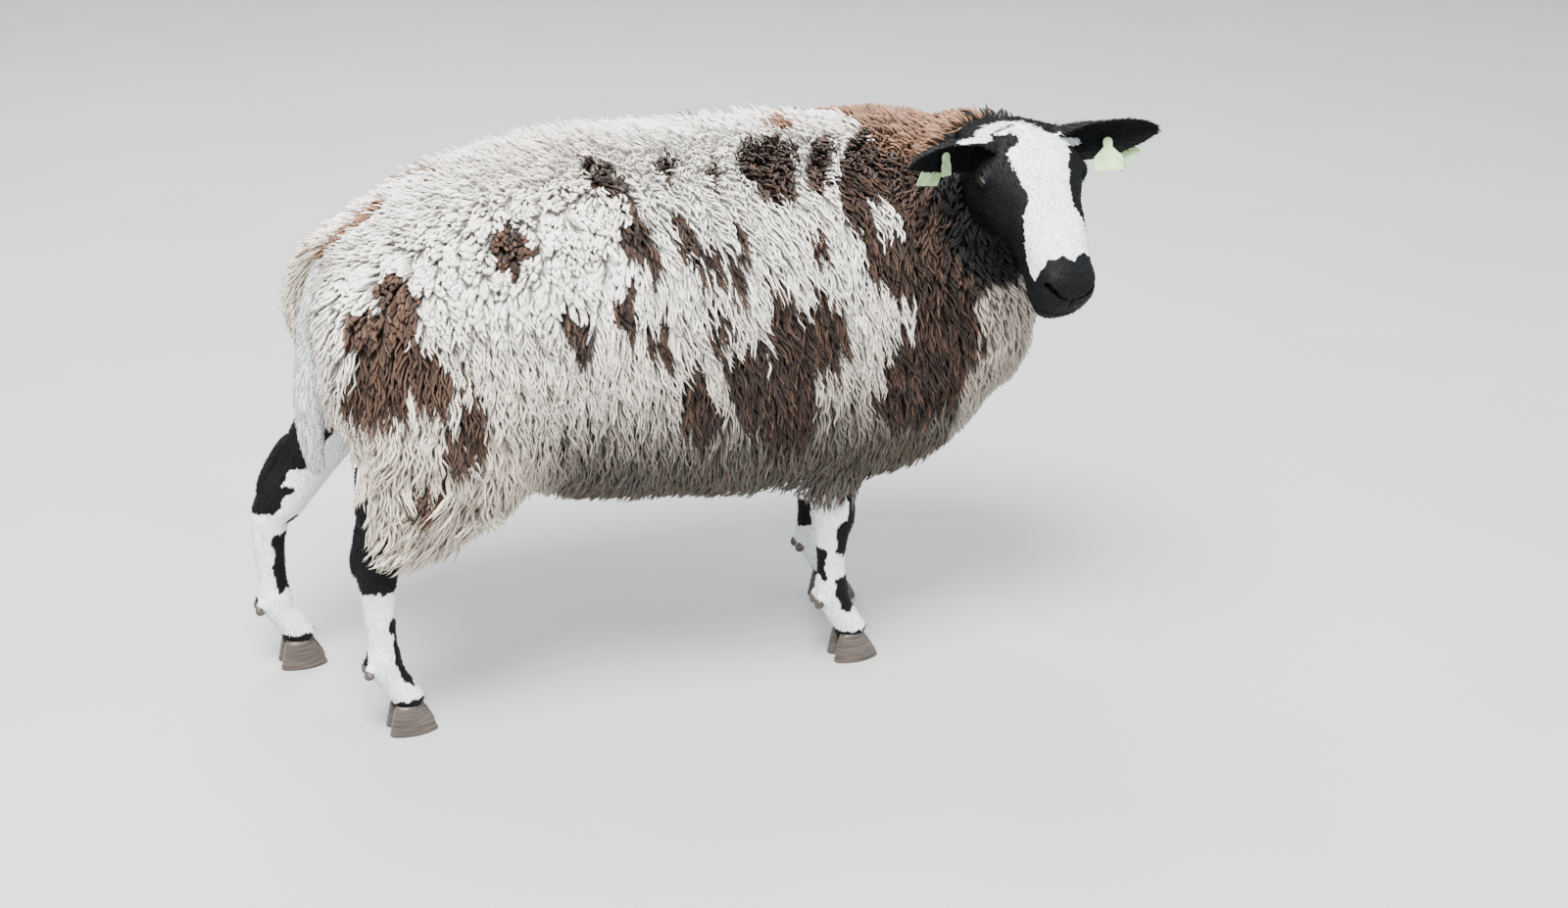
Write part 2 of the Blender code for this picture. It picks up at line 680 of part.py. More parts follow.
def build_tags(name, side):
    """Two plain flags of an ear tag, in front of and behind the ear, the front one with its stem."""
    place, angle, tilt, front_size, swing, back_size = TAGS[side]
    pin_back = on_ear(side, place, angle, 0.0)
    through = on_ear(side, place, angle, EAR_THICKNESS) - pin_back
    low = on_ear(side, place, angle - 0.02, 0.0) - on_ear(side, place, angle + 0.02, 0.0)
    wide = on_ear(side, place + 0.1, angle, 0.0) - on_ear(side, place - 0.1, angle, 0.0)
    wide.normalize()
    down = (low - wide * low.dot(wide)).normalized()
    front_way = wide.cross(down)
    if front_way.dot(through) < 0:
        front_way = -front_way
    pin_front = pin_back + front_way * EAR_THICKNESS
    tilted = (down + front_way * tilt).normalized()
    front_normal = (front_way - down * tilt).normalized()
    top = pin_front + front_way * TAG_STAND
    front = tag_flag("tag_%s_front" % name, top, tilted, wide, front_normal, front_size)
    top = pin_back - front_way * TAG_STAND
    swung = down * math.cos(swing) + wide * math.sin(swing)
    aside = wide * math.cos(swing) - down * math.sin(swing)
    back = tag_flag("tag_%s_back" % name, top, swung, aside, -front_way, back_size)
    rows = []
    ends = (-TAG_STAND - TAG_THICKNESS - 0.0012, EAR_THICKNESS + TAG_STAND + 0.0006)
    for reach in (ends[0], 0.0, EAR_THICKNESS, ends[1]):
        rows.append((tuple(pin_back + front_way * reach), 0.0022))
    return front, back, limb("stem", rows, 4, 8, tuple(down))


def tag_flag(name, top, down, across, normal, size):
    """One flag of an ear tag: a button at the top, a narrow neck and a wide plate below."""
    length, width, shoulder = size
    outline = []
    for k in range(7):
        a = math.pi * k / 6
        outline.append((math.cos(a) * TAG_BUTTON, -math.sin(a) * TAG_BUTTON))
    outline += [(-TAG_BUTTON * 0.9, 0.006), (-width / 2, shoulder), (-width / 2, length)]
    outline += [(width / 2, length), (width / 2, shoulder), (TAG_BUTTON * 0.9, 0.006)]
    rings = []
    for depth in (0.0, TAG_THICKNESS):
        rings.append([top + across * a + down * b + normal * depth for a, b in outline])
    return loft(name, rings)


def foot(name, fetlock, sweep, table):
    """Bare shank with its point of the hock, two claws on the floor and two dewclaws."""
    (x0, y0) = fetlock
    rows = []
    for dx, z, length, width in table:
        rows.append(((x0 + dx + sweep * max(z - SWEEP_FROM, 0.0), y0, z), length, width))
    shank = limb("shank_" + name, rows, 12, 10)
    hind = name.startswith("hind")
    if hind:
        dx, z = HOCK_POINT
        lean = Matrix.Rotation(0.20 + 0.5 * sweep, 4, "Y")
        place = (x0 + dx + sweep * (z - SWEEP_FROM), y0, z)
        combine(shank, [ball("hock", place, (0.0125, 0.0125, 0.034), lean, 6, 5)])
    claws, dews = [], []
    for part, side in (("outer", 1), ("inner", -1)):
        away = side if y0 > 0 else -side
        centre_y = y0 + away * CLAW_SPREAD
        rings = []
        for z, back, front, half in (
            (0.0, 0.000, 0.062, 0.0120),
            (0.006, 0.001, 0.061, 0.0122),
            (0.020, 0.004, 0.054, 0.0118),
            (0.033, 0.007, 0.046, 0.0110),
            (0.040, 0.010, 0.041, 0.0095),
        ):
            outline = []
            for k in range(10):
                a = 2 * math.pi * k / 10
                reach = math.cos(a)
                x = (front + back) / 2 + (front - back) / 2 * reach
                taper = 1.0 - 0.42 * max(reach, 0) ** 2
                y = centre_y + half * taper * power(math.sin(a), 0.75) - away * 0.003 * max(reach, 0)
                outline.append((x0 + x, y, z))
            rings.append(outline)
        claws.append(loft("claw_%s_%s" % (name, part), rings))
        spur = frame_matrix(Vector((0.55, 0, 0.83)), Vector((0, 1, 0)), Vector((-0.83, 0, 0.55)))
        place = Vector((x0 - 0.0185, y0 + away * 0.0105, 0.090))
        dews.append(ball("dewclaw_%s_%s" % (name, part), place, (0.0105, 0.0060, 0.0075), spur, 6, 5))
    return shank, claws, dews


def body_form():
    """The trunk, neck, thighs and upper forelegs as one smooth body out to the tips of the fleece."""
    pieces = [trunk(), limb("neck_form", NECK, 14, 24, (0, 0, 1))]
    pieces.append(limb("thigh_form", THIGH_RIGHT, 14, 24))
    pieces.append(limb("thigh_form", THIGH_LEFT, 14, 24))
    for side in (1, -1):
        rows = [((c[0], c[1] * side, c[2]), a, b) for c, a, b in UPPER_FORELEG]
        pieces.append(limb("foreleg_form", rows, 12, 20))
    body = joined("body", pieces)
    apply(body, "REMESH", mode="VOXEL", voxel_size=0.012)
    apply(body, "SMOOTH", factor=0.5, iterations=8)
    return body


def clump(place, lie, out, length, width, height):
    """A rounded lock of wool along its lie, its root sunk in the core and its tip standing up a little."""
    across = out.cross(lie).normalized()
    rings = []
    for at, wide, tall in ((-0.36, 0.70, 0.66), (0.02, 1.04, 1.02), (0.36, 0.62, 0.60)):
        rise = TIP_RISE * max(at, 0) * 2 - ROOT_SINK * max(-at, 0) * 2
        centre = place + lie * (at * length) + out * rise
        row = []
        for k in range(5):
            angle = math.pi * (k * 2 / 5 + 1 / 10)
            side = across * math.cos(angle) * width / 2 * wide * 1.1
            row.append(centre + side + out * math.sin(angle) * height / 2 * tall * 1.1)
        rings.append(row)
    piece = loft("clump", rings)
    first, last = piece.data.vertices[-2], piece.data.vertices[-1]
    first.co = place - lie * length / 2 - out * ROOT_SINK
    last.co = place + lie * length / 2 + out * TIP_RISE
    return piece


def clump_places(core):
    """Places spread evenly over the core by chance, with the way out of it and the lie of the wool."""
    rng = np.random.default_rng(SEED)
    mesh = core.data
    mesh.calc_loop_triangles()
    corners = np.array([tuple(v.co) for v in mesh.vertices])
    faces = np.array([tuple(t.vertices) for t in mesh.loop_triangles])
    normals = np.array([tuple(v.normal) for v in mesh.vertices])
    a, b, c = corners[faces[:, 0]], corners[faces[:, 1]], corners[faces[:, 2]]
    area = np.linalg.norm(np.cross(b - a, c - a), axis=1)
    picks = rng.choice(len(faces), size=5000, p=area / area.sum())
    cuts = np.sort(rng.random((len(picks), 2)), axis=1)
    weights = np.stack([cuts[:, 0], cuts[:, 1] - cuts[:, 0], 1 - cuts[:, 1]], axis=1)
    places = np.einsum("ij,ijk->ik", weights, corners[faces[picks]])
    outs = np.einsum("ij,ijk->ik", weights, normals[faces[picks]])
    outs /= np.linalg.norm(outs, axis=1, keepdims=True)
    hang = np.array(HANG) - outs * (outs @ np.array(HANG))[:, None]
    hang /= np.linalg.norm(hang, axis=1, keepdims=True)
    free = np.array([not on_bare_part(Vector(p)) for p in places])
    places, outs, hang = places[free], outs[free], hang[free]
    # Each next clump goes where the coat is thinnest so far
    nearest = np.full(len(places), np.inf)
    pick, chosen = 0, []
    for _ in range(CLUMP_COUNT):
        turn = Matrix.Rotation(float(rng.normal(0, 0.16)), 3, Vector(outs[pick]))
        chosen.append((Vector(places[pick]), Vector(outs[pick]), (turn @ Vector(hang[pick])).normalized()))
        gap = places - places[pick]
        down = np.einsum("ij,ij->i", gap, hang)
        rest = np.maximum(np.einsum("ij,ij->i", gap, gap) - down**2, 0)
        away = np.sqrt((down / SPACING_ALONG) ** 2 + rest / SPACING_ACROSS**2)
        away[outs @ outs[pick] < -0.2] = np.inf
        nearest = np.minimum(nearest, away)
        pick = int(np.argmax(nearest))
    return chosen, rng


def on_bare_part(place):
    """Whether a place is covered by the head."""
    return (place - (POLL + ALONG * 0.045 - UP * 0.060)).length < 0.085


def fleece(core):
    """The core with clumps of wool set close all over it, as one solid."""
    places, rng = clump_places(core)
    pieces = []
    for place, out, lie in places:
        size = 1 + float(np.clip(rng.normal(0, 0.10), -0.2, 0.2))
        small = 0.82 if place.x > 0.30 and place.z > 0.50 else 1.0
        length = CLUMP_LENGTH * size * small
        width = CLUMP_WIDTH * (1 + float(np.clip(rng.normal(0, 0.10), -0.2, 0.2))) * small
        pieces.append(clump(place, lie, out, length, width, CLUMP_HEIGHT))
    for root, tip, width in HANGING_LOCKS:
        root, tip = Vector(root), Vector(tip)
        lie = (tip - root).normalized()
        side = Vector((0, 1 if root.y > 0 else -1, 0))
        out = (side - lie * side.dot(lie)).normalized()
        pieces.append(clump((root + tip) / 2, lie, out, (tip - root).length, width, width * 0.62))
    return simpler(combine(core, pieces, "UNION", CLUMP_SOLVER))


def simpler(obj):
    """Join the slivers that a union leaves where solids cross."""
    apply(obj, "DECIMATE", ratio=UNION_SHARE)
    return outwards(obj)


def build():
    body = body_form()
    apply(body, "DECIMATE", ratio=CORE_SHARE)
    outline = body
    body = swollen(outline, -CORE_DEPTH)
    remove([outline])
    apply(body, "SMOOTH", factor=0.5, iterations=2)
    body = fleece(body)
    tail = limb("tail", TAIL, 12, 10)
    head, eyes = build_head()
    shanks, claws, dews = {}, [], []
    for name, (fetlock, sweep) in FEET.items():
        table = HIND_SHANK if name.startswith("hind") else FORE_SHANK
        shank, pair, spurs = foot(name, fetlock, sweep, table)
        shanks[name] = shank
        cut(shank, [swollen(c) for c in pair + spurs])
        claws += pair
        dews += spurs
    ears, tags = [], []
    for name, side in (("left", 1), ("right", -1)):
        ear = build_ear(name, side)
        front, back, stem = build_tags(name, side)
        combine(front, [stem])
        cut(back, [swollen(front)])
        cut(ear, [swollen(front), swollen(back)])
        ears.append(ear)
        tags += [front, back]
    cut(head, [swollen(ear) for ear in ears])

    inner = [tail, head] + list(shanks.values())
    rows = [(row[0], row[1] + CLEFT * min(k / 2, 1.0)) for k, row in enumerate(TAIL[1:])]
    cut(body, [limb("cleft", rows, 10, 10)])
    cut(body, [swollen(piece, GAP) for piece in inner])
    place, normal = NECK_PLANE
    neck = copy_of(body, "neck")
    combine(neck, [half_space("side", place, normal, GAP)], "INTERSECT")
    torso = copy_of(body, "torso")
    cut(torso, [half_space("side", place, normal, -GAP), thigh_prism(GAP / 2)])
    nodes = [torso, neck]
    for name, side in (("left", 1), ("right", -1)):
        thigh = copy_of(body, "thigh_" + name)
        combine(thigh, [thigh_prism(-GAP / 2)], "INTERSECT")
        combine(thigh, [half_space("side", (0, 0, 0), (0, side, 0), GAP)], "INTERSECT")
        nodes.append(thigh)
    remove([body])
    return nodes + [tail, head] + eyes + ears + tags + list(shanks.values()) + claws + dews


def finish(objects):
    """Keep each node's largest surface, shade it, give it its material and move it all over the origin."""
    for obj in objects:
        outwards(largest_surface(obj))
        obj.data.materials.clear()
        colour, rough = next(look for key, look in LOOKS if obj.name.startswith(key))
        material = bpy.data.materials.new(obj.name)
        material.use_nodes = True
        shader = material.node_tree.nodes["Principled BSDF"]
        shader.inputs["Base Color"].default_value = (*colour, 1.0)
        shader.inputs["Roughness"].default_value = rough
        shader.inputs["Metallic"].default_value = 0.0
        obj.data.materials.append(material)
        obj.data.shade_smooth()
        for polygon in obj.data.polygons:
            if obj.name.startswith(FLAT_SHADED):
                polygon.use_smooth = False
    corners = np.array([tuple(v.co) for obj in objects for v in obj.data.vertices])
    low, high = corners.min(axis=0), corners.max(axis=0)
    shift = Vector((-(low[0] + high[0]) / 2, -(low[1] + high[1]) / 2, -low[2]))
    for obj in objects:
        obj.data.transform(Matrix.Translation(shift))
    return shift


for leftover in list(bpy.data.objects):
    bpy.data.objects.remove(leftover)
random.seed(SEED)
NODES = build()
SHIFT = finish(NODES)
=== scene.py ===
import math

import bmesh
import bpy
import numpy as np
from mathutils import Matrix, Vector
from mathutils.bvhtree import BVHTree
from mathutils.kdtree import KDTree


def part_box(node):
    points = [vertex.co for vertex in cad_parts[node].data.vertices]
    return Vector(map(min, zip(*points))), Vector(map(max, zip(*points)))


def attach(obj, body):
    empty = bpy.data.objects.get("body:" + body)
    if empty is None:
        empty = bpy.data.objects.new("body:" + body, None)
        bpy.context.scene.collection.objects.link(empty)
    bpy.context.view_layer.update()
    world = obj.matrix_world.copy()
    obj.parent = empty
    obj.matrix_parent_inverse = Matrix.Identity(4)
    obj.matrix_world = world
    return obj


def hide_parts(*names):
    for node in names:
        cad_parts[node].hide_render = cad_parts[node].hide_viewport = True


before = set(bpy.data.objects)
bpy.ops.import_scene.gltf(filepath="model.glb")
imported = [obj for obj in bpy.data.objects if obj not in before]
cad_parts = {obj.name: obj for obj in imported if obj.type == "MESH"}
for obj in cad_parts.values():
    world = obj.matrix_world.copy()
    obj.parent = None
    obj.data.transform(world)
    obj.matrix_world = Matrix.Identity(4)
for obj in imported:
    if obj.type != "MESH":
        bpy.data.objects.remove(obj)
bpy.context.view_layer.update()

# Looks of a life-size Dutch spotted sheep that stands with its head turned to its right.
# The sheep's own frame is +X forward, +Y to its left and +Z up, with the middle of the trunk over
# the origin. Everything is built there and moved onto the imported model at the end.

SEED = 4757

# Sizes of the animal, in metres

TRUNK = [
    (-0.410, 0.622, 0.385, 0.165),
    (-0.330, 0.674, 0.340, 0.182),
    (-0.230, 0.714, 0.300, 0.198),
    (-0.100, 0.733, 0.262, 0.207),
    (0.050, 0.730, 0.248, 0.208),
    (0.200, 0.729, 0.246, 0.202),
    (0.310, 0.728, 0.248, 0.186),
    (0.390, 0.712, 0.288, 0.162),
    (0.445, 0.690, 0.345, 0.135),
]
TRUNK_SQUARENESS = 2.35
RUMP_ROUND, CHEST_ROUND = 0.14, 0.16

NECK = [
    ((0.250, 0.000, 0.560), 0.155, 0.160),
    ((0.340, -0.012, 0.598), 0.128, 0.132),
    ((0.385, -0.055, 0.632), 0.104, 0.110),
    ((0.400, -0.105, 0.662), 0.090, 0.098),
    ((0.398, -0.150, 0.682), 0.078, 0.088),
]
THIGH_RIGHT = [
    ((-0.255, -0.090, 0.580), 0.130, 0.085),
    ((-0.285, -0.108, 0.480), 0.158, 0.096),
    ((-0.302, -0.116, 0.400), 0.143, 0.090),
    ((-0.335, -0.118, 0.335), 0.105, 0.074),
    ((-0.385, -0.115, 0.262), 0.054, 0.046),
]
THIGH_LEFT = [
    ((-0.255, 0.090, 0.580), 0.130, 0.085),
    ((-0.300, 0.108, 0.490), 0.172, 0.096),
    ((-0.328, 0.116, 0.420), 0.148, 0.088),
    ((-0.358, 0.117, 0.370), 0.108, 0.072),
    ((-0.392, 0.114, 0.322), 0.060, 0.048),
]
UPPER_FORELEG = [
    ((0.205, 0.105, 0.480), 0.105, 0.070),
    ((0.205, 0.105, 0.390), 0.092, 0.066),
    ((0.203, 0.100, 0.320), 0.066, 0.054),
    ((0.203, 0.095, 0.252), 0.045, 0.038),
]
TAIL = [
    ((-0.355, 0.000, 0.655), 0.030),
    ((-0.398, 0.000, 0.625), 0.0270),
    ((-0.420, 0.001, 0.566), 0.0235),
    ((-0.439, 0.002, 0.491), 0.0215),
    ((-0.448, 0.003, 0.428), 0.0205),
    ((-0.450, 0.004, 0.375), 0.0175),
    ((-0.446, 0.004, 0.322), 0.0110),
]
# Bare lower legs: offset forward of the foot, height, half length fore and aft, half width
HIND_SHANK = [
    (0.004, 0.355, 0.046, 0.036),
    (0.002, 0.310, 0.040, 0.028),
    (0.000, 0.272, 0.034, 0.0245),
    (-0.004, 0.243, 0.0325, 0.0240),
    (-0.002, 0.212, 0.0245, 0.0200),
    (-0.001, 0.175, 0.0200, 0.0170),
    (0.000, 0.130, 0.0180, 0.0158),
    (0.001, 0.098, 0.0215, 0.0195),
    (0.010, 0.075, 0.0190, 0.0185),
    (0.022, 0.054, 0.0190, 0.0195),
    (0.031, 0.036, 0.0215, 0.0215),
]
FORE_SHANK = [
    (0.004, 0.335, 0.042, 0.034),
    (0.002, 0.285, 0.034, 0.029),
    (0.000, 0.240, 0.0290, 0.0260),
    (0.003, 0.212, 0.0275, 0.0255),
    (0.000, 0.180, 0.0215, 0.0205),
    (-0.001, 0.140, 0.0182, 0.0170),
    (0.000, 0.098, 0.0215, 0.0195),
    (0.009, 0.075, 0.0190, 0.0185),
    (0.021, 0.054, 0.0190, 0.0195),
    (0.030, 0.036, 0.0215, 0.0215),
]
HOCK_POINT = (-0.026, 0.256)
SWEEP_FROM = 0.205
FEET = {
    "hind_right": ((-0.399, -0.113), 0.15),
    "hind_left": ((-0.506, 0.116), 0.65),
    "fore_right": ((0.205, -0.092), 0.0),
    "fore_left": ((0.238, 0.090), 0.0),
}
# A claw: height, how far back and forward it reaches, and half width; how far the two are apart
CLAW = np.array([
    (0.000, 0.0010, 0.0605, 0.0110),
    (0.0015, 0.0000, 0.0620, 0.0120),
    (0.006, 0.001, 0.061, 0.0122),
    (0.020, 0.004, 0.054, 0.0118),
    (0.033, 0.007, 0.046, 0.0110),
    (0.040, 0.010, 0.041, 0.0095),
])
CLAW_SIDES, CLAW_SPREAD = 40, 0.0145

POLL = Vector((0.424, -0.190, 0.756))
FACE_PITCH = math.radians(47.0)
HEAD_ROLL = math.radians(3.3)
HEADING = Vector((0.048, -0.999, 0.0)).normalized()
HEAD = [
    (-0.040, -0.074, -0.104, 0.034),
    (-0.025, -0.055, -0.116, 0.052),
    (0.000, -0.0275, -0.128, 0.061),
    (0.030, -0.0085, -0.138, 0.066),
    (0.060, 0.000, -0.138, 0.0660),
    (0.090, 0.003, -0.124, 0.0595),
    (0.122, 0.002, -0.106, 0.0500),
    (0.157, 0.001, -0.096, 0.0418),
    (0.186, -0.001, -0.095, 0.0375),
    (0.209, -0.006, -0.097, 0.0365),
    (0.224, -0.014, -0.095, 0.0338),
    (0.233, -0.024, -0.087, 0.0270),
    (0.239, -0.040, -0.068, 0.0140),
]
# Swellings and hollows of the head: along, out, up, radius, height
HEAD_FORMS = [
    (0.062, 0.064, -0.034, 0.020, 0.0060),
    (0.048, 0.056, -0.016, 0.018, 0.0060),
    (0.048, 0.060, -0.090, 0.032, 0.0050),
    (0.098, 0.050, -0.060, 0.022, 0.0030),
    (0.106, 0.048, -0.030, 0.020, -0.0035),
    (0.008, 0.052, -0.040, 0.022, 0.0100),
    (0.217, 0.028, -0.018, 0.012, 0.0032),
    (0.222, 0.024, -0.042, 0.014, 0.0026),
    (0.228, 0.000, -0.076, 0.014, 0.0025),
    (0.140, 0.040, -0.070, 0.020, -0.0025),
]
# Finer ones that only the skin shows: brow, tear pit, cheek ridge, wing of the nostril, lips and chin
FINE_FORMS = [
    (0.046, 0.040, -0.002, 0.012, 0.0018),
    (0.082, 0.050, -0.030, 0.007, -0.0022),
    (0.088, 0.052, -0.044, 0.010, 0.0016),
    (0.112, 0.046, -0.050, 0.010, 0.0014),
    (0.134, 0.026, 0.000, 0.014, 0.0012),
    (0.165, 0.022, 0.000, 0.014, 0.0012),
    (0.190, 0.032, -0.030, 0.014, -0.0012),
    (0.2235, 0.0150, -0.0165, 0.009, 0.0026),
    (0.2290, 0.0215, -0.0370, 0.009, 0.0026),
    (0.212, 0.030, -0.056, 0.010, 0.0016),
    (0.186, 0.034, -0.060, 0.010, 0.0012),
    (0.222, 0.016, -0.078, 0.010, 0.0014),
    (0.070, 0.058, -0.112, 0.020, 0.0020),
]
EYE = (0.061, 0.0612, -0.0350)
EYE_RADIUS, LID_RADIUS = 0.0130, 0.0151
EYE_OPENING, EYE_SLIT = 0.0235, 0.0125
MOUTH_CORNER, MOUTH_FRONT = (0.166, -0.071), (0.246, -0.061)
# Each nostril from its wide outer end to the middle of the nose, the groove from there to the lip, and
# the hollow that runs forward and down from the corner of each eye
NOSTRIL = [
    (0.2195, 0.0322, -0.0225), (0.2262, 0.0250, -0.0245),
    (0.2305, 0.0140, -0.0300), (0.2345, 0.0040, -0.0315),
]
NOSE_GROOVE = [(0.2340, 0.0, -0.0300), (0.2390, 0.0, -0.0395), (0.2440, 0.0, -0.0500), (0.2450, 0.0, -0.0600)]
TEAR_LINE = [(0.0745, 0.0600, -0.0385), (0.0860, 0.0565, -0.0440), (0.0960, 0.0535, -0.0500)]

# The ears, left (1) and right (-1): root on the head, share of their line outwards, forward and up,
# share of their opening forward and up, length, width, and how far the line sags to the tip
EARS = {
    1: ((0.008, 0.043, -0.035), (0.92, 0.34, -0.13), (0.78, -0.30), 0.138, 0.058, -0.026),
    -1: ((0.018, 0.043, -0.036), (0.92, 0.22, -0.05), (0.72, -0.62), 0.128, 0.060, 0.004),
}
EAR_THICKNESS = 0.0038
# Half width of an ear and how far its leaf curls round, along its length
EAR_AT = (0.0, 0.08, 0.18, 0.32, 0.48, 0.64, 0.78, 0.90, 0.97, 1.0)
EAR_HALF = (0.50, 0.62, 0.82, 0.97, 1.0, 0.94, 0.78, 0.53, 0.30, 0.12)
EAR_CURL = (2.4, 2.2, 1.85, 1.45, 1.2, 1.05, 0.95, 0.90, 0.90, 0.90)

# Depth of the wool over the skin
WOOL_DEPTH = 0.015
# Size of the cells that the skins are remeshed with
FORM_VOXEL, BODY_VOXEL = 0.012, 0.010
HEAD_VOXEL = 0.0013
LEG_VOXEL = 0.0021

# Small tools


def spline(knots, values, at):
    """Values between the knots on a smooth line that doesn't overshoot them."""
    knots, values, at = (np.asarray(v, float) for v in (knots, values, at))
    step = np.diff(knots)
    slope = np.diff(values) / step
    tangent = np.empty(len(knots))
    tangent[0], tangent[-1] = slope[0], slope[-1]
    same_way = slope[1:] * slope[:-1] > 0
    total = np.where(same_way, slope[1:] + slope[:-1], 1)
    tangent[1:-1] = np.where(same_way, 2 * slope[1:] * slope[:-1] / total, 0)
    k = np.clip(np.searchsorted(knots, at) - 1, 0, len(step) - 1)
    t = (at - knots[k]) / step[k]
    rise = (3 * slope[k] - 2 * tangent[k] - tangent[k + 1]) * step[k]
    curl = (tangent[k] + tangent[k + 1] - 2 * slope[k]) * step[k]
    return values[k] + tangent[k] * step[k] * t + rise * t**2 + curl * t**3


def power(value, exponent):
    return np.sign(value) * np.abs(value) ** exponent


def smooth_step(value, low, high):
    t = np.clip((np.asarray(value, float) - low) / (high - low), 0, 1)
    return t * t * (3 - 2 * t)


def bell(value, width):
    """1 where the value is nothing, and falling away over a width."""
    return np.exp(-((value / width) ** 2))


def on_table(value, table):
    """What a table of two columns says for a value, between its rows too."""
    return np.interp(value, *np.array(table).T)


def round_angles(count):
    return np.arange(count) * 2 * math.pi / count


def unit(vectors):
    return vectors / np.maximum(np.linalg.norm(vectors, axis=-1, keepdims=True), 1e-9)


def along_surface(ways, outs):
    """Directions laid flat onto a surface."""
    return unit(ways - outs * np.sum(ways * outs, axis=1, keepdims=True))


def turned(ways, outs, turn):
    """Directions along a surface, turned by angles."""
    side = np.cross(outs, ways)
    return unit(ways * np.cos(turn)[:, None] + side * np.sin(turn)[:, None])


LATTICE = np.random.default_rng(SEED).random((32, 32, 32)) * 2 - 1


def lattice_noise(points, scale, shift=0.0):
    """Smooth noise in space, about -1 to 1, with features as large as the scale."""
    at = np.asarray(points, float) / scale + shift
    base = np.floor(at).astype(int)
    t = at - base
    t = t * t * (3 - 2 * t)
    total = np.zeros(at.shape[:-1])
    for corner in range(8):
        step = np.array([corner & 1, corner >> 1 & 1, corner >> 2 & 1])
        weight = np.prod(np.where(step, t, 1 - t), axis=-1)
        x, y, z = np.moveaxis((base + step) % 32, -1, 0)
        total += weight * LATTICE[x, y, z]
    return total


def linked(name, data):
    """A new object of the scene with some data."""
    obj = bpy.data.objects.new(name, data)
    bpy.context.scene.collection.objects.link(obj)
    return obj


def new_object(name, points, faces):
    mesh = bpy.data.meshes.new(name)
    mesh.from_pydata([tuple(p) for p in points], [], faces)
    obj = linked(name, mesh)
    tidy = bmesh.new()
    tidy.from_mesh(mesh)
    bmesh.ops.triangulate(tidy, faces=tidy.faces[:])
    bmesh.ops.recalc_face_normals(tidy, faces=tidy.faces[:])
    tidy.to_mesh(mesh)
    tidy.free()
    return obj


def loft(name, rings, leaf=False):
    """A closed body through rings of equal count. Its ends close on a point, or as a leaf's in a strip."""
    rings = np.asarray(rings, float)
    rows, around = rings.shape[:2]
    points = rings.reshape(-1, 3)
    faces = []
    for row in range(rows - 1):
        for i in range(around):
            j = (i + 1) % around
            near, far = row * around, (row + 1) * around
            faces.append((near + i, near + j, far + j, far + i))
    if leaf:
        last = (rows - 1) * around
        for i in range(around // 2 - 1):
            j = around - 1 - i
            faces.append((i + 1, i, j, j - 1))
            faces.append((last + i, last + i + 1, last + j - 1, last + j))
        return new_object(name, points, faces)
    ends = [rings[0].mean(axis=0), rings[-1].mean(axis=0)]
    first, last = len(points), len(points) + 1
    for i in range(around):
        j = (i + 1) % around
        faces.append((first, j, i))
        faces.append((last, (rows - 1) * around + i, (rows - 1) * around + j))
    return new_object(name, np.vstack([points, ends]), faces)


def ring(centre, along, up, half_width, half_height, around, squareness=2.0):
    """A rounded ring round a centre, across a direction."""
    along = np.asarray(along, float) / np.linalg.norm(along)
    side = np.cross(up, along)
    side /= np.linalg.norm(side)
    top = np.cross(along, side)
    angle = round_angles(around)
    out = power(np.cos(angle), 2 / squareness)[:, None] * side * half_width
    rise = power(np.sin(angle), 2 / squareness)[:, None] * top * half_height
    return np.asarray(centre, float) + out + rise


def resample(table, count):
    """Smooth sections between the named ones: each row is a centre and its sizes."""
    centres = np.array([row[0] for row in table], float)
    sizes = np.array([np.atleast_1d(row[1:]) for row in table], float).reshape(len(table), -1)
    run = np.concatenate([[0], np.cumsum(np.linalg.norm(np.diff(centres, axis=0), axis=1))])
    at = np.linspace(0, run[-1], count)
    columns = [spline(run, centres[:, k], at) for k in range(3)]
    return np.array(columns).T, [spline(run, sizes[:, k], at) for k in range(sizes.shape[1])]


def limb(name, table, count=12, around=20, up=(1.0, 0.0, 0.0), squareness=2.0):
    """A limb through its named sections. One size makes it round, two give it fore and aft and width."""
    centres, sizes = resample(table, count)
    along = np.gradient(centres, axis=0)
    rings = []
    for k, centre in enumerate(centres):
        rings.append(ring(centre, along[k], up, sizes[-1][k], sizes[0][k], around, squareness))
    return loft(name, rings)


def trunk():
    """The barrel of the body, rounded off at the rump and the chest."""
    table = np.array(TRUNK)
    run = table[:, 0]
    at = np.linspace(run[0], run[-1], 30)
    top, bottom, half = (spline(run, table[:, k], at) for k in (1, 2, 3))
    rings = []
    for k, x in enumerate(at):
        centre = (x, 0.0, (top[k] + bottom[k]) / 2)
        tall = (top[k] - bottom[k]) / 2
        rings.append(ring(centre, (1, 0, 0), (0, 0, 1), half[k], tall, 36, TRUNK_SQUARENESS))
    ends = {-1: [], 1: []}
    for index, reach, sign in ((0, RUMP_ROUND, -1), (-1, CHEST_ROUND, 1)):
        base = rings[index]
        middle = base.mean(axis=0)
        for turn in (0.3, 0.6, 0.85, 1.1, 1.35):
            out = math.sin(turn) * reach * 0.38
            scale = math.cos(turn) ** 0.8
            ends[sign].append(middle + (base - middle) * scale + (sign * out, 0, 0))
    return loft("trunk_form", ends[-1][::-1] + rings + ends[1])


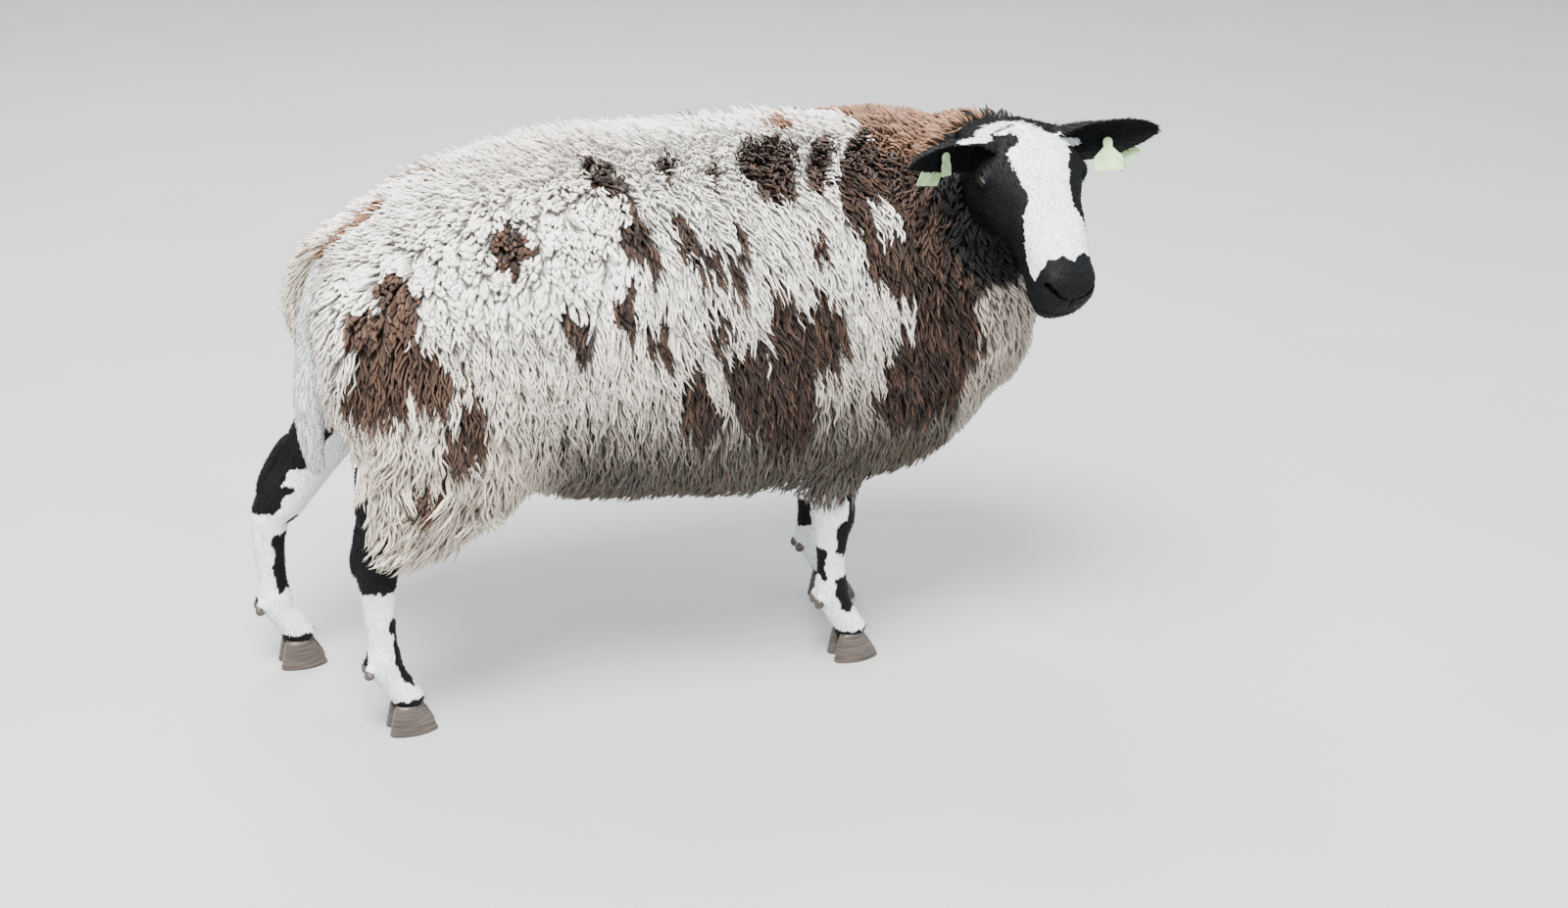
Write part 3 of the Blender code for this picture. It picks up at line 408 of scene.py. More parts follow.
def apply(obj, kind, **settings):
    """Add a modifier to an object and apply it."""
    modifier = obj.modifiers.new(kind.lower(), kind)
    for key, value in settings.items():
        setattr(modifier, key, value)
    graph = bpy.context.evaluated_depsgraph_get()
    mesh = bpy.data.meshes.new_from_object(obj.evaluated_get(graph))
    obj.modifiers.clear()
    old = obj.data
    obj.data = mesh
    bpy.data.meshes.remove(old)
    return obj


def remove(objects):
    for obj in list(objects):
        mesh = obj.data
        bpy.data.objects.remove(obj)
        bpy.data.meshes.remove(mesh)


def joined(name, objects):
    """One mesh object from several, their surfaces left as they are."""
    mesh = bmesh.new()
    for obj in objects:
        mesh.from_mesh(obj.data)
    data = bpy.data.meshes.new(name)
    mesh.to_mesh(data)
    mesh.free()
    remove(objects)
    return linked(name, data)


def order_faces(obj):
    """Sort the faces of a mesh, whose order a Boolean or a new ball leaves to chance."""
    faces = []
    for face in obj.data.polygons:
        corners = list(face.vertices)
        first = corners.index(min(corners))
        faces.append(corners[first:] + corners[:first])
    places = mesh_arrays(obj)[0]
    obj.data.clear_geometry()
    obj.data.from_pydata(places.tolist(), [], sorted(faces))
    obj.data.update()


def combine(obj, others, operation="UNION"):
    """One Boolean of an object with a whole collection of closed solids, which go."""
    group = bpy.data.collections.new(obj.name + "_pieces")
    bpy.context.scene.collection.children.link(group)
    for other in others:
        group.objects.link(other)
    apply(obj, "BOOLEAN", operand_type="COLLECTION", collection=group, operation=operation, solver="MANIFOLD")
    remove(others)
    bpy.data.collections.remove(group)
    order_faces(obj)
    return obj


def mesh_arrays(obj):
    """Places and outward directions of the points of a mesh."""
    mesh = obj.data
    places = np.empty(len(mesh.vertices) * 3)
    normals = np.empty(len(mesh.vertices) * 3)
    mesh.vertices.foreach_get("co", places)
    mesh.vertices.foreach_get("normal", normals)
    return places.reshape(-1, 3), normals.reshape(-1, 3)


def set_places(obj, places):
    obj.data.vertices.foreach_set("co", np.ascontiguousarray(places, float).ravel())
    obj.data.update()


def moved_out(obj, by):
    """Move the surface of a mesh outwards by a distance."""
    places, normals = mesh_arrays(obj)
    set_places(obj, places + normals * by)
    return obj


def ball(name, centre, sizes, turn=None, segments=16, rings=10):
    """A round body with three half sizes, turned by a matrix, its faces in a fixed order."""
    mesh = bmesh.new()
    bmesh.ops.create_uvsphere(mesh, u_segments=segments, v_segments=rings, radius=1.0)
    bmesh.ops.triangulate(mesh, faces=mesh.faces[:])
    data = bpy.data.meshes.new(name)
    mesh.to_mesh(data)
    mesh.free()
    data.transform(Matrix.Translation(centre) @ (turn or Matrix()) @ Matrix.Diagonal((*sizes, 1.0)))
    obj = linked(name, data)
    order_faces(obj)
    return obj


def frame_matrix(x, y, z):
    """A rotation whose columns are three directions."""
    return Matrix((x, y, z)).transposed().to_4x4()


# The head

ALONG = (HEADING * math.cos(FACE_PITCH) - Vector((0, 0, 1)) * math.sin(FACE_PITCH)).normalized()
LEFT_FLAT = Vector((0, 0, 1)).cross(HEADING).normalized()
UP_FLAT = ALONG.cross(LEFT_FLAT).normalized()
if UP_FLAT.z < 0:
    UP_FLAT = -UP_FLAT
LEFT = LEFT_FLAT * math.cos(HEAD_ROLL) - UP_FLAT * math.sin(HEAD_ROLL)
UP = UP_FLAT * math.cos(HEAD_ROLL) + LEFT_FLAT * math.sin(HEAD_ROLL)
HEAD_FRAME = np.array([ALONG, LEFT, UP])


def on_head(along, out, up):
    """A place in the sheep's frame from one in the frame of the head."""
    return POLL + ALONG * along + LEFT * out + UP * up


def to_world(points):
    shape = np.asarray(points).shape
    return (np.array(POLL) + np.asarray(points).reshape(-1, 3) @ HEAD_FRAME).reshape(shape)


def to_head(points):
    """Places in the frame of the head: along the face, out to its left and up out of the forehead."""
    return (np.asarray(points) - np.array(POLL)) @ HEAD_FRAME.T


def head_rows(rows, around):
    """Rings of the head, in its own frame."""
    table = np.array(HEAD)
    turn = np.linspace(0, 1, rows)
    run = table[:, 0]
    at = run[0] + (run[-1] - run[0]) * (turn - 0.08 * np.sin(2 * math.pi * turn) / math.pi)
    top, bottom, half = (spline(run, table[:, k], at) for k in (1, 2, 3))
    angle = round_angles(around)
    rings = []
    for k, place in enumerate(at):
        egg = 1 + 0.16 * np.sin(angle)
        square = 2.15 + 0.20 * float(smooth_step(place, 0.165, 0.195))
        out = power(np.cos(angle), 2 / square) * half[k] * egg
        middle, tall = (top[k] + bottom[k]) / 2, (top[k] - bottom[k]) / 2
        up = middle + power(np.sin(angle), 2 / square) * tall
        rings.append(np.stack([np.full(around, place), out, up], axis=1))
    return np.array(rings)


def shaped_head(rings, forms):
    """Raise and sink the forms of the face on its rings."""
    centre = rings.mean(axis=1, keepdims=True)
    outward = rings - centre
    outward /= np.maximum(np.linalg.norm(outward, axis=2, keepdims=True), 1e-6)
    result = rings.copy()
    for along, out, up, radius, height in forms:
        for side in (1, -1) if out else (1,):
            away = np.linalg.norm(rings - np.array([along, side * out, up]), axis=2)
            result += outward * (height * bell(away, radius))[:, :, None]
    return result


def eye_place(side):
    """The middle of an eye, and its directions: out of the head, along the slit and across it."""
    out = (LEFT * side * 0.93 + ALONG * 0.20 + UP * 0.30).normalized()
    slit = ALONG * 0.96 - UP * 0.10
    slit = (slit - out * slit.dot(out)).normalized()
    return on_head(EYE[0], EYE[1] * side, EYE[2]), out, slit, out.cross(slit).normalized()


def almond(name, centre, out, slit, across, length, width, depth):
    """A lens-shaped prism that opens the lids over an eye."""
    steps = 25
    outline = []
    for k in range(steps):
        t = -1 + 2 * k / (steps - 1)
        outline.append((t * length / 2, (1 - t * t) ** 0.75 * width / 2 + 0.0003))
    for k in range(1, steps - 1):
        t = 1 - 2 * k / (steps - 1)
        outline.append((t * length / 2, -((1 - t * t) ** 0.75) * width * 0.42 - 0.0003))
    rings = []
    for reach, scale in ((0.0, 0.55), (0.5, 0.85), (1.0, 1.2)):
        row = []
        for a, b in outline:
            row.append(centre + slit * a * scale + across * b * scale + out * depth * reach)
        rings.append(row)
    return loft(name, rings)


def near_line(points, line):
    """Distance of many points from a line of straight stretches."""
    best = np.full(len(points), np.inf)
    for a, b in zip(line[:-1], line[1:]):
        a, b = np.asarray(a, float), np.asarray(b, float)
        t = np.clip((points - a) @ (b - a) / max((b - a) @ (b - a), 1e-12), 0, 1)
        best = np.minimum(best, np.linalg.norm(points - a - t[:, None] * (b - a), axis=1))
    return best


def ear_frame(side):
    """Root of an ear, and its directions: along it, out of its cup, and across it to the upper edge."""
    place, (out, forward, up), (ahead, rise) = EARS[side][:3]
    axis = (LEFT * side * out + HEADING * forward + Vector((0, 0, 1)) * up).normalized()
    root = on_head(place[0], place[1] * side, place[2])
    open_way = HEADING * ahead + Vector((0, 0, 1)) * rise
    open_way = (open_way - axis * open_way.dot(axis)).normalized()
    across = axis.cross(open_way).normalized()
    return root, axis, open_way, across if across.z > 0 else -across


def on_ear(side, place, angle, depth):
    """A point of an ear's leaf, at an angle from its keel and a depth under its back."""
    root, axis, open_way, across = ear_frame(side)
    length, width, sag = EARS[side][3:]
    half = float(spline(EAR_AT, EAR_HALF, place)) * width / 2
    curl = float(spline(EAR_AT, EAR_CURL, place))
    radius = half / math.sin(min(curl, math.pi / 2))
    middle = root + axis * length * place - Vector((0, 0, 1)) * sag * place**2
    centre, reach = middle + open_way * radius * 0.55, radius - depth
    return centre - open_way * math.cos(angle) * reach + across * math.sin(angle) * reach


def ear(side):
    """A leaf-shaped ear, cupped along its length, thin at its rim, with its root in the head."""
    rings = []
    for place in np.linspace(0, 1, 44) ** 0.92:
        curl = float(spline(EAR_AT, EAR_CURL, place))
        thick = EAR_THICKNESS * float(spline((0, 0.1, 0.3, 0.85, 1), (1.3, 1.2, 1.0, 0.9, 0.6), place))
        arc = np.linspace(-curl, curl, 26)
        rim = 0.28 + 0.72 * (1 - np.abs(arc / curl) ** 3.0)
        outer = [on_ear(side, place, a, 0.0) for a in arc]
        inner = [on_ear(side, place, a, thick * r) for a, r in zip(arc[::-1], rim[::-1])]
        rings.append(outer + inner)
    return loft("ear_form", rings, leaf=True)


def build_head():
    """The skin of the head with its lids, folds, nostrils, lips and ears."""
    rings = shaped_head(head_rows(150, 132), HEAD_FORMS)
    pieces = [loft("head_form", to_world(shaped_head(rings, FINE_FORMS)))]
    cutters = []
    for side in (1, -1):
        centre, out, slit, across = eye_place(side)
        turn = frame_matrix(slit, across, out)
        pieces.append(ball("lid", centre, (LID_RADIUS, LID_RADIUS * 0.98, LID_RADIUS), turn, 40, 28))
        pieces.append(ear(side))
        cutters.append(ball("socket", centre, (EYE_RADIUS + 0.0003,) * 3, turn, 48, 32))
        cutters.append(almond("opening", centre, out, slit, across, EYE_OPENING, EYE_SLIT, 0.022))
        cutters += nostril(side)
    head = joined("head_skin", pieces)
    apply(head, "REMESH", mode="VOXEL", voxel_size=HEAD_VOXEL)
    apply(head, "SMOOTH", factor=0.5, iterations=6)
    crease(head)
    return combine(head, cutters, "DIFFERENCE")


def mirrored(line, side):
    return [(along, out * side, up) for along, out, up in line]


def nostril(side):
    """The hollow of a nostril, wide at its outer end and closing to a slit towards the middle of the nose."""
    path = [on_head(*place) for place in mirrored(NOSTRIL, side)]
    inward = (-ALONG * 0.80 - LEFT * side * 0.30 - UP * 0.50).normalized()
    pieces = []
    for start, share, half_length, half_width, deep in (
        (0, 0.10, 0.0064, 0.0054, 0.0120),
        (0, 0.70, 0.0074, 0.0044, 0.0100),
        (1, 0.40, 0.0084, 0.0030, 0.0075),
        (2, 0.30, 0.0066, 0.0020, 0.0060),
    ):
        middle = path[start].lerp(path[start + 1], share)
        length = path[start + 1] - path[start]
        length = (length - inward * length.dot(inward)).normalized()
        turn = frame_matrix(length, inward.cross(length), inward)
        pieces.append(ball("nostril", middle, (half_length, half_width, deep), turn, 24, 18))
    return pieces


def crease(head):
    """Press the mouth, the groove of the nose, the tear line and the folds of the lids into the skin."""
    places, normals = mesh_arrays(head)
    local = to_head(places)
    depth = np.zeros(len(places))
    # Mouth: the skin is pressed in along a band where its height passes the line of the lips
    share = np.clip((local[:, 0] - MOUTH_CORNER[0]) / (MOUTH_FRONT[0] - MOUTH_CORNER[0]), 0, 1)
    line_up = MOUTH_CORNER[1] + (MOUTH_FRONT[1] - MOUTH_CORNER[1]) * share**1.5
    fade = smooth_step(local[:, 0], MOUTH_CORNER[0] - 0.002, MOUTH_CORNER[0] + 0.014)
    gap = local[:, 2] - line_up
    depth += 0.0042 * fade * bell(gap, 0.0014)
    depth -= 0.0013 * fade * bell(gap - 0.0050, 0.0036)
    depth -= 0.0011 * fade * bell(gap + 0.0050, 0.0036)
    depth += 0.0042 * bell(near_line(local, NOSE_GROOVE), 0.0019)
    for side in (1, -1):
        depth += 0.0020 * bell(near_line(local, mirrored(NOSTRIL[1:], side)), 0.0014)
        depth += 0.0016 * bell(near_line(local, mirrored(TEAR_LINE, side)), 0.0022)
        centre, out, slit, across = (np.array(v) for v in eye_place(side))
        rel = places - centre
        a, b, c = rel @ slit, rel @ across, rel @ out
        near = bell(np.linalg.norm(rel, axis=1) - 0.0155, 0.006) * (c > 0.001)
        arch = 1 - np.clip(a / 0.0150, -1, 1) ** 2
        upper = EYE_SLIT / 2 * arch + 0.0042
        lower = -EYE_SLIT * 0.42 * arch - 0.0040
        up_sign = 1 if (np.array(UP) @ across) > 0 else -1
        edges = ((upper, 0.0011), (upper + 0.0048, 0.0009), (lower, 0.0010), (lower - 0.0044, 0.0006))
        for edge, amount in edges:
            depth += amount * near * bell(b - up_sign * edge, 0.0011)
    # Fine wrinkles over the nose and slack skin under the jaw
    nose_skin = smooth_step(local[:, 0], 0.185, 0.215)
    depth += 0.00035 * nose_skin * lattice_noise(places, 0.0038)
    depth += 0.0007 * lattice_noise(places, 0.019) * (1 - nose_skin)
    set_places(head, places - normals * depth[:, None])


# The legs, tail and body under the wool


def shank_of(name):
    return HIND_SHANK if name.startswith("hind") else FORE_SHANK


def shank_middle(z, name):
    """How far forward the middle of a lower leg is, by height."""
    (x0, _), sweep = FEET[name]
    table = shank_of(name)
    middle = x0 + np.interp(z, [r[1] for r in table[::-1]], [r[0] for r in table[::-1]])
    return middle + sweep * np.maximum(z - SWEEP_FROM, 0)


def foot_skin(name):
    """A bare shank with its point of the hock, tendons and dewclaw roots."""
    (x0, y0), sweep = FEET[name]
    rows = []
    for dx, z, length, width in shank_of(name):
        rows.append(((x0 + dx + sweep * max(z - SWEEP_FROM, 0.0), y0, z), length, width))
    pieces = [limb("shank", rows, 70, 44, (1.0, 0.0, 0.0), 2.15)]
    if name.startswith("hind"):
        dx, z = HOCK_POINT
        lean = Matrix.Rotation(0.20 + 0.5 * sweep, 4, "Y")
        place = (x0 + dx + sweep * (z - SWEEP_FROM), y0, z)
        pieces.append(ball("hock", place, (0.0125, 0.0120, 0.036), lean, 24, 16))
        pieces.append(ball("tendon", (place[0] + 0.004, y0, z + 0.035), (0.009, 0.0075, 0.046), lean, 20, 14))
    for away in (1, -1):
        spur = (x0 - 0.0150, y0 + away * 0.0100, 0.094)
        pieces.append(ball("spur_root", spur, (0.0095, 0.0068, 0.0100), None, 20, 14))
    leg = joined("leg_skin", pieces)
    apply(leg, "REMESH", mode="VOXEL", voxel_size=LEG_VOXEL)
    apply(leg, "SMOOTH", factor=0.5, iterations=6)
    places, normals = mesh_arrays(leg)
    x, y, z = places.T
    middle = shank_middle(z, name)
    cannon = smooth_step(z, 0.105, 0.125) * (1 - smooth_step(z, 0.185, 0.205))
    behind = bell(x - middle + 0.0065, 0.0035) * (np.abs(y - y0) > 0.008)
    depth = 0.0018 * cannon * behind
    front = smooth_step(x - middle, 0.006, 0.014)
    depth += 0.0016 * front * bell(y - y0, 0.0035) * (1 - smooth_step(z, 0.050, 0.070))
    depth += 0.0005 * lattice_noise(places, 0.012, 3.3)
    set_places(leg, places - normals * depth[:, None])
    return leg


def body_form():
    """The trunk, neck, thighs and upper forelegs as one smooth body out to the tips of the wool."""
    pieces = [trunk(), limb("neck_form", NECK, 14, 24, (0, 0, 1))]
    pieces += [limb("thigh_form", thigh, 14, 24) for thigh in (THIGH_RIGHT, THIGH_LEFT)]
    for side in (1, -1):
        rows = [((c[0], c[1] * side, c[2]), a, b) for c, a, b in UPPER_FORELEG]
        pieces.append(limb("foreleg_form", rows, 12, 20))
    body = joined("body", pieces)
    apply(body, "REMESH", mode="VOXEL", voxel_size=FORM_VOXEL)
    apply(body, "SMOOTH", factor=0.5, iterations=8)
    return body


# Markings

# Spots on the wool: place along the body, angle round it from the spine towards the right side,
# half length and half breadth, and the slant of the length in degrees
GIRTH_CENTRE, GIRTH_RADIUS = 0.49, 0.22
BROWN_SPOTS = [
    (-0.226, 0.84, 0.033, 0.023, -81),
    (-0.095, 0.48, 0.048, 0.016, 63),
    (-0.013, 0.43, 0.024, 0.013, -69),
    (0.043, 0.53, 0.024, 0.007, -80),
    (0.114, 0.44, 0.047, 0.040, -61),
    (0.115, 0.67, 0.022, 0.016, -7),
    (0.179, 0.50, 0.051, 0.019, -74),
    (0.229, 0.53, 0.058, 0.022, -70),
    (-0.072, 0.84, 0.029, 0.016, -78),
    (-0.047, 1.00, 0.017, 0.012, -81),
    (-0.009, 0.95, 0.025, 0.010, 87),
    (0.017, 1.11, 0.030, 0.015, 84),
    (0.057, 1.11, 0.034, 0.012, -84),
    (-0.094, 1.28, 0.027, 0.013, -87),
    (-0.155, 1.40, 0.031, 0.015, 74),
    (-0.056, 1.52, 0.021, 0.016, 84),
    (0.025, 1.47, 0.034, 0.011, -89),
    (-0.007, 1.91, 0.051, 0.026, 84),
    (0.106, 1.46, 0.040, 0.019, 88),
    (0.157, 1.57, 0.052, 0.038, 78),
    (0.061, 1.80, 0.059, 0.025, 86),
    (0.113, 1.87, 0.066, 0.036, 81),
    (0.108, 2.15, 0.043, 0.030, 30),
    (0.159, 1.04, 0.026, 0.014, -83),
    (-0.362, 0.95, 0.022, 0.020, 48),
    (-0.362, 1.12, 0.036, 0.027, 89),
    (-0.400, 1.28, 0.046, 0.032, -87),
    (-0.360, 1.50, 0.054, 0.044, 30),
    (-0.402, 1.74, 0.052, 0.032, -71),
    (-0.345, 1.63, 0.046, 0.030, 15),
    (-0.362, 1.62, 0.040, 0.036, 0),
    (-0.290, 1.84, 0.025, 0.016, 89),
    (-0.303, 2.00, 0.030, 0.020, -15),
    (-0.352, 2.31, 0.015, 0.010, -9),
    (0.250, 0.71, 0.079, 0.051, -70),
    (0.292, 1.08, 0.082, 0.077, 14),
    (0.357, 1.53, 0.107, 0.073, 69),
    (0.309, 1.98, 0.087, 0.052, 42),
    (0.275, 2.13, 0.051, 0.031, 38),
    (0.335, 0.76, 0.090, 0.078, 0),
    # The far side
    (-0.250, -0.70, 0.036, 0.030, 75),
    (-0.330, -1.15, 0.050, 0.030, 80),
    (-0.380, -1.60, 0.045, 0.030, -70),
    (-0.170, -1.05, 0.032, 0.015, 85),
    (-0.120, -0.55, 0.040, 0.018, -65),
    (-0.080, -1.35, 0.036, 0.017, 84),
    (-0.110, -1.85, 0.040, 0.022, 88),
    (-0.020, -0.85, 0.046, 0.026, -75),
    (0.020, -1.50, 0.036, 0.014, 86),
    (0.060, -0.45, 0.034, 0.022, 60),
    (0.075, -1.15, 0.050, 0.020, 82),
    (0.080, -1.85, 0.060, 0.034, 84),
    (0.140, -0.80, 0.040, 0.026, -80),
    (0.170, -1.55, 0.062, 0.034, 80),
    (0.235, -0.60, 0.070, 0.045, 70),
    (0.300, -1.05, 0.085, 0.075, 10),
    (0.350, -1.55, 0.100, 0.070, -70),
    (0.300, -2.05, 0.070, 0.045, 40),
    (0.372, -0.80, 0.080, 0.085, 0),
    (0.430, -1.50, 0.070, 0.100, 0),
]
CREAM_SPOTS = [
    (0.250, 0.89, 0.034, 0.019, 83),
    (0.223, 1.61, 0.044, 0.031, 66),
    (0.215, 1.86, 0.034, 0.020, 60),
    (0.245, -1.45, 0.040, 0.024, 80),
]
TAN_SPOTS = [
    (-0.396, -0.09, 0.044, 0.032, 13),
    (0.156, 0.01, 0.042, 0.017, -70),
    (0.331, 0.35, 0.075, 0.045, 39),
    (0.300, -0.25, 0.060, 0.040, -30),
    (-0.300, -0.30, 0.040, 0.015, 60),
]

# Wool behind the cheek and under the throat: height, and how far forward the black or the cream begins
CHEEK_EDGE = [
    (0.500, 0.395), (0.523, 0.380), (0.546, 0.362), (0.568, 0.343), (0.591, 0.330), (0.612, 0.328),
    (0.637, 0.319), (0.660, 0.315), (0.677, 0.308), (0.700, 0.320), (0.740, 0.372), (0.760, 0.390),
]
THROAT_EDGE = [
    (0.300, 0.355), (0.389, 0.363), (0.416, 0.375), (0.430, 0.392), (0.464, 0.378), (0.500, 0.364),
    (0.560, 0.368),
]

# The white blaze: its right and left borders as angles round the head in degrees, along the face,
# and the place along the face where it ends over the muzzle, by angle
BLAZE_RIGHT = [
    (-0.040, 78), (-0.010, 82), (0.006, 80), (0.011, 56), (0.016, 26), (0.024, 24), (0.031, 28),
    (0.038, 42), (0.045, 46), (0.063, 42), (0.084, 40), (0.102, 36), (0.114, 38), (0.128, 50),
    (0.148, 59), (0.173, 77), (0.190, 84), (0.206, 74),
]
BLAZE_LEFT = [
    (-0.040, 46), (-0.010, 44), (0.004, 42), (0.014, 44), (0.022, 60), (0.030, 58), (0.042, 50),
    (0.055, 44), (0.079, 33), (0.098, 26), (0.118, 25), (0.131, 28), (0.148, 40), (0.165, 62),
    (0.180, 66), (0.206, 60),
]
# Dark gaps between the tufts of the poll, and the white points at the roots of the left and right ear
POLL_STREAKS = [
    [(0.0128, -0.0496, -0.0252), (0.0033, -0.0308, -0.0274), (-0.0074, -0.0064, -0.0349)],
    [(0.0190, -0.0360, -0.0180), (0.0110, -0.0200, -0.0190)],
    [(-0.0045, 0.0400, -0.0340), (0.0030, 0.0521, -0.0338)],
]
EAR_POINT = [(0.0300, 0.0480, -0.0200), (0.0185, 0.0680, -0.0410), (0.0196, 0.0790, -0.0395)]
EAR_CREST = [
    (0.0120, -0.0560, -0.0200), (0.0223, -0.0711, -0.0100),
    (0.0252, -0.0875, -0.0051), (0.0284, -0.1030, -0.0021),
]
BLAZE_END = [
    (-90, 0.176), (-60, 0.184), (-30, 0.189), (-19, 0.187), (-8, 0.192), (-3, 0.198), (6, 0.194),
    (14, 0.190), (27, 0.192), (35, 0.188), (46, 0.195), (66, 0.200), (90, 0.206),
]

# Where the bare muzzle begins along the face, and how high the black over each hoof reaches
MUZZLE_FROM, CORONET = 0.224, 0.047

# Black patches of the legs: angle from the front towards the right side, lowest and highest place,
# and half breadth of the patch in degrees
LEG_PATCHES = {
    "hind_right": [
        (0, 0.200, 0.420, 180), (14, 0.066, 0.158, 36), (32, 0.142, 0.158, 34), (-150, 0.050, 0.120, 42),
    ],
    "hind_left": [
        (180, 0.285, 0.420, 94), (180, 0.262, 0.290, 46), (180, 0.226, 0.264, 82),
        (27, 0.213, 0.222, 17), (8, 0.112, 0.197, 74), (-140, 0.060, 0.100, 40),
    ],
    "fore_right": [
        (36, 0.206, 0.246, 30), (52, 0.160, 0.208, 42), (168, 0.126, 0.168, 38),
        (40, 0.074, 0.128, 50), (-110, 0.170, 0.230, 45),
    ],
    "fore_left": [
        (0, 0.215, 0.360, 180), (-60, 0.150, 0.200, 60), (20, 0.080, 0.125, 50), (150, 0.120, 0.160, 45),
    ],
}

WHITE_HAIR, BLACK_HAIR = (0.80, 0.82, 0.83), (0.0030, 0.0034, 0.0040)
# The second cream is painted shade low on the flank; the third is painted shade under the belly, with some
# dirt
CREAM_HIGH, CREAM_SHADED, CREAM_SHADE_AND_DIRT = (0.88, 0.845, 0.785), (0.72, 0.65, 0.53), (0.118, 0.106, 0.085)
BROWN, BROWN_TIP = (0.0200, 0.0102, 0.0066), (0.122, 0.063, 0.037)
TAN, TAN_PALE = (0.150, 0.070, 0.036), (0.34, 0.190, 0.115)
BLACK_WOOL, MUZZLE = (0.0045, 0.0042, 0.0042), (0.0030, 0.0036, 0.0042)
TAIL_WHITE, TAIL_GREY = (0.76, 0.79, 0.80), (0.36, 0.37, 0.38)
# The rear tint is a yellowish cream with painted shade, for the far buttock
LOIN_TINT, REAR_SHADE_TINT = (0.46, 0.32, 0.26), (0.56, 0.48, 0.34)


def mixed(low, high, share):
    low, high = np.asarray(low, float), np.asarray(high, float)
    return low + (high - low) * np.asarray(share)[..., None]


def girth(points):
    return np.arctan2(-points[:, 1], points[:, 2] - GIRTH_CENTRE)


def inside_spots(points, spots, ragged=0.006):
    """How far points lie inside the nearest of some spots, in metres, with a ragged border."""
    angle = girth(points)
    best = np.full(len(points), -1.0)
    for x, turn, length, breadth, slant in spots:
        away = (angle - turn + math.pi) % (2 * math.pi) - math.pi
        u, v = points[:, 0] - x, away * GIRTH_RADIUS
        c, s = math.cos(math.radians(slant)), math.sin(math.radians(slant))
        reach = np.hypot((u * c + v * s) / length, (v * c - u * s) / breadth)
        best = np.maximum(best, (1 - reach) * breadth)
    best = best + ragged * lattice_noise(points, 0.014, 5.0)
    return best + ragged * 0.5 * lattice_noise(points, 0.006, 9.0)


def near_head(points):
    """Distance of points from the middle of the back of the head."""
    local = to_head(points)
    return np.linalg.norm((local - (0.045, 0, -0.080)) / (1.0, 0.95, 1.05), axis=1)


def wool_colour(points):
    """Colour of the wool whose tips are at some places."""
    x, y, z = points.T
    streak = lattice_noise(points * (1.0, 1.0, 0.35), 0.006, 4.0)
    broad = lattice_noise(points, 0.045, 7.0)
    rough = lattice_noise(points, 0.016, 6.0)
    # Cream, with painted shade low down, painted shade and some dirt under the belly, reddish on the loin,
    # and yellowish with painted shade on the far side of the rear
    cream = mixed(CREAM_HIGH, CREAM_SHADED, smooth_step(-z, -0.58, -0.36))
    shade_and_dirt = smooth_step(-z, -0.475, -0.325) * smooth_step(x, -0.24, -0.14)
    cream = mixed(cream, CREAM_SHADE_AND_DIRT, shade_and_dirt)
    loin = smooth_step(z, 0.68, 0.73) * smooth_step(-x, 0.02, 0.12)
    loin = loin * (0.5 + 0.5 * lattice_noise(points, 0.02, 2.0))
    cream = mixed(cream, LOIN_TINT, 0.45 * np.clip(loin, 0, 1))
    # Painted shade with a yellowish tint on the far buttock beside the tail
    rear = smooth_step(-x, 0.385, 0.430) * smooth_step(y, -0.100, 0.000) * smooth_step(-z, -0.640, -0.580)
    cream = mixed(cream, REAR_SHADE_TINT, 0.70 * rear)
    # Brown spots, then tan ones and the crest of the neck
    paler = smooth_step(-x, 0.22, 0.28) * smooth_step(-z, -0.66, -0.60)
    dark = mixed(BROWN, BROWN_TIP, np.clip(0.12 + 0.45 * streak + 0.30 * paler, 0, 1))
    brown = (inside_spots(points, BROWN_SPOTS) > 0) & ~(inside_spots(points, CREAM_SPOTS) > 0)
    result = np.where(brown[:, None], dark, cream)
    tan = inside_spots(points, TAN_SPOTS, 0.009) > 0
    tan |= (z + 0.008 * broad > 0.695) & (x + 0.030 * broad > 0.255)
    result = np.where(tan[:, None], mixed(TAN, TAN_PALE, np.clip(0.42 + 0.65 * streak, 0, 1)), result)
    # Cream under the throat, darkened by the painted shade and dirt of the belly's colours, and black behind
    # the cheek
    throat = x + 0.010 * rough > on_table(z, THROAT_EDGE)
    throat &= (z < 0.56) & (y + 0.010 * rough < 0.02)
    result = np.where(throat[:, None], mixed(CREAM_SHADED, CREAM_SHADE_AND_DIRT, np.full(len(x), 0.48)), result)
    cheek = (x + 0.006 * rough > on_table(z, CHEEK_EDGE)) & (z + 0.006 * rough > 0.522)
    cheek &= (y < -0.105) | (near_head(points) + 0.010 * rough < 0.118)
    cheek &= to_head(points)[:, 2] < -0.025
    return np.where(cheek[:, None], mixed(BLACK_WOOL, BROWN, np.clip(0.10 + 0.25 * streak, 0, 1)), result)


def blaze(points):
    """Whether places on the head are within the white blaze."""
    local = to_head(points)
    along, out, up = local.T
    angle = np.degrees(np.arctan2(-out, up + 0.05))
    ragged = 2.0 * lattice_noise(local, 0.007, 1.0) + 2.2 * lattice_noise(local, 0.0018, 3.0)
    white = (angle + ragged < on_table(along, BLAZE_RIGHT)) & (-angle + ragged < on_table(along, BLAZE_LEFT))
    white &= along < on_table(angle, BLAZE_END) + 0.0012 * lattice_noise(local, 0.005, 2.0)
    ear = (np.abs(out) > 0.0600) & (along < 0.045) | (out > 0.044) & (along < 0.030) & (up > -0.022)
    white &= (up > -0.12) & ~ear
    for streak in POLL_STREAKS:
        white &= near_line(local, streak) > 0.0024 + 0.0012 * lattice_noise(local, 0.004, 4.0)
    point = near_line(local, EAR_POINT) < 0.0065 - 0.11 * np.maximum(out - 0.060, 0)
    crest = near_line(local, EAR_CREST) < 0.0095 - 0.10 * np.maximum(-out - 0.060, 0)
    return white | (point & (out > 0)) | crest


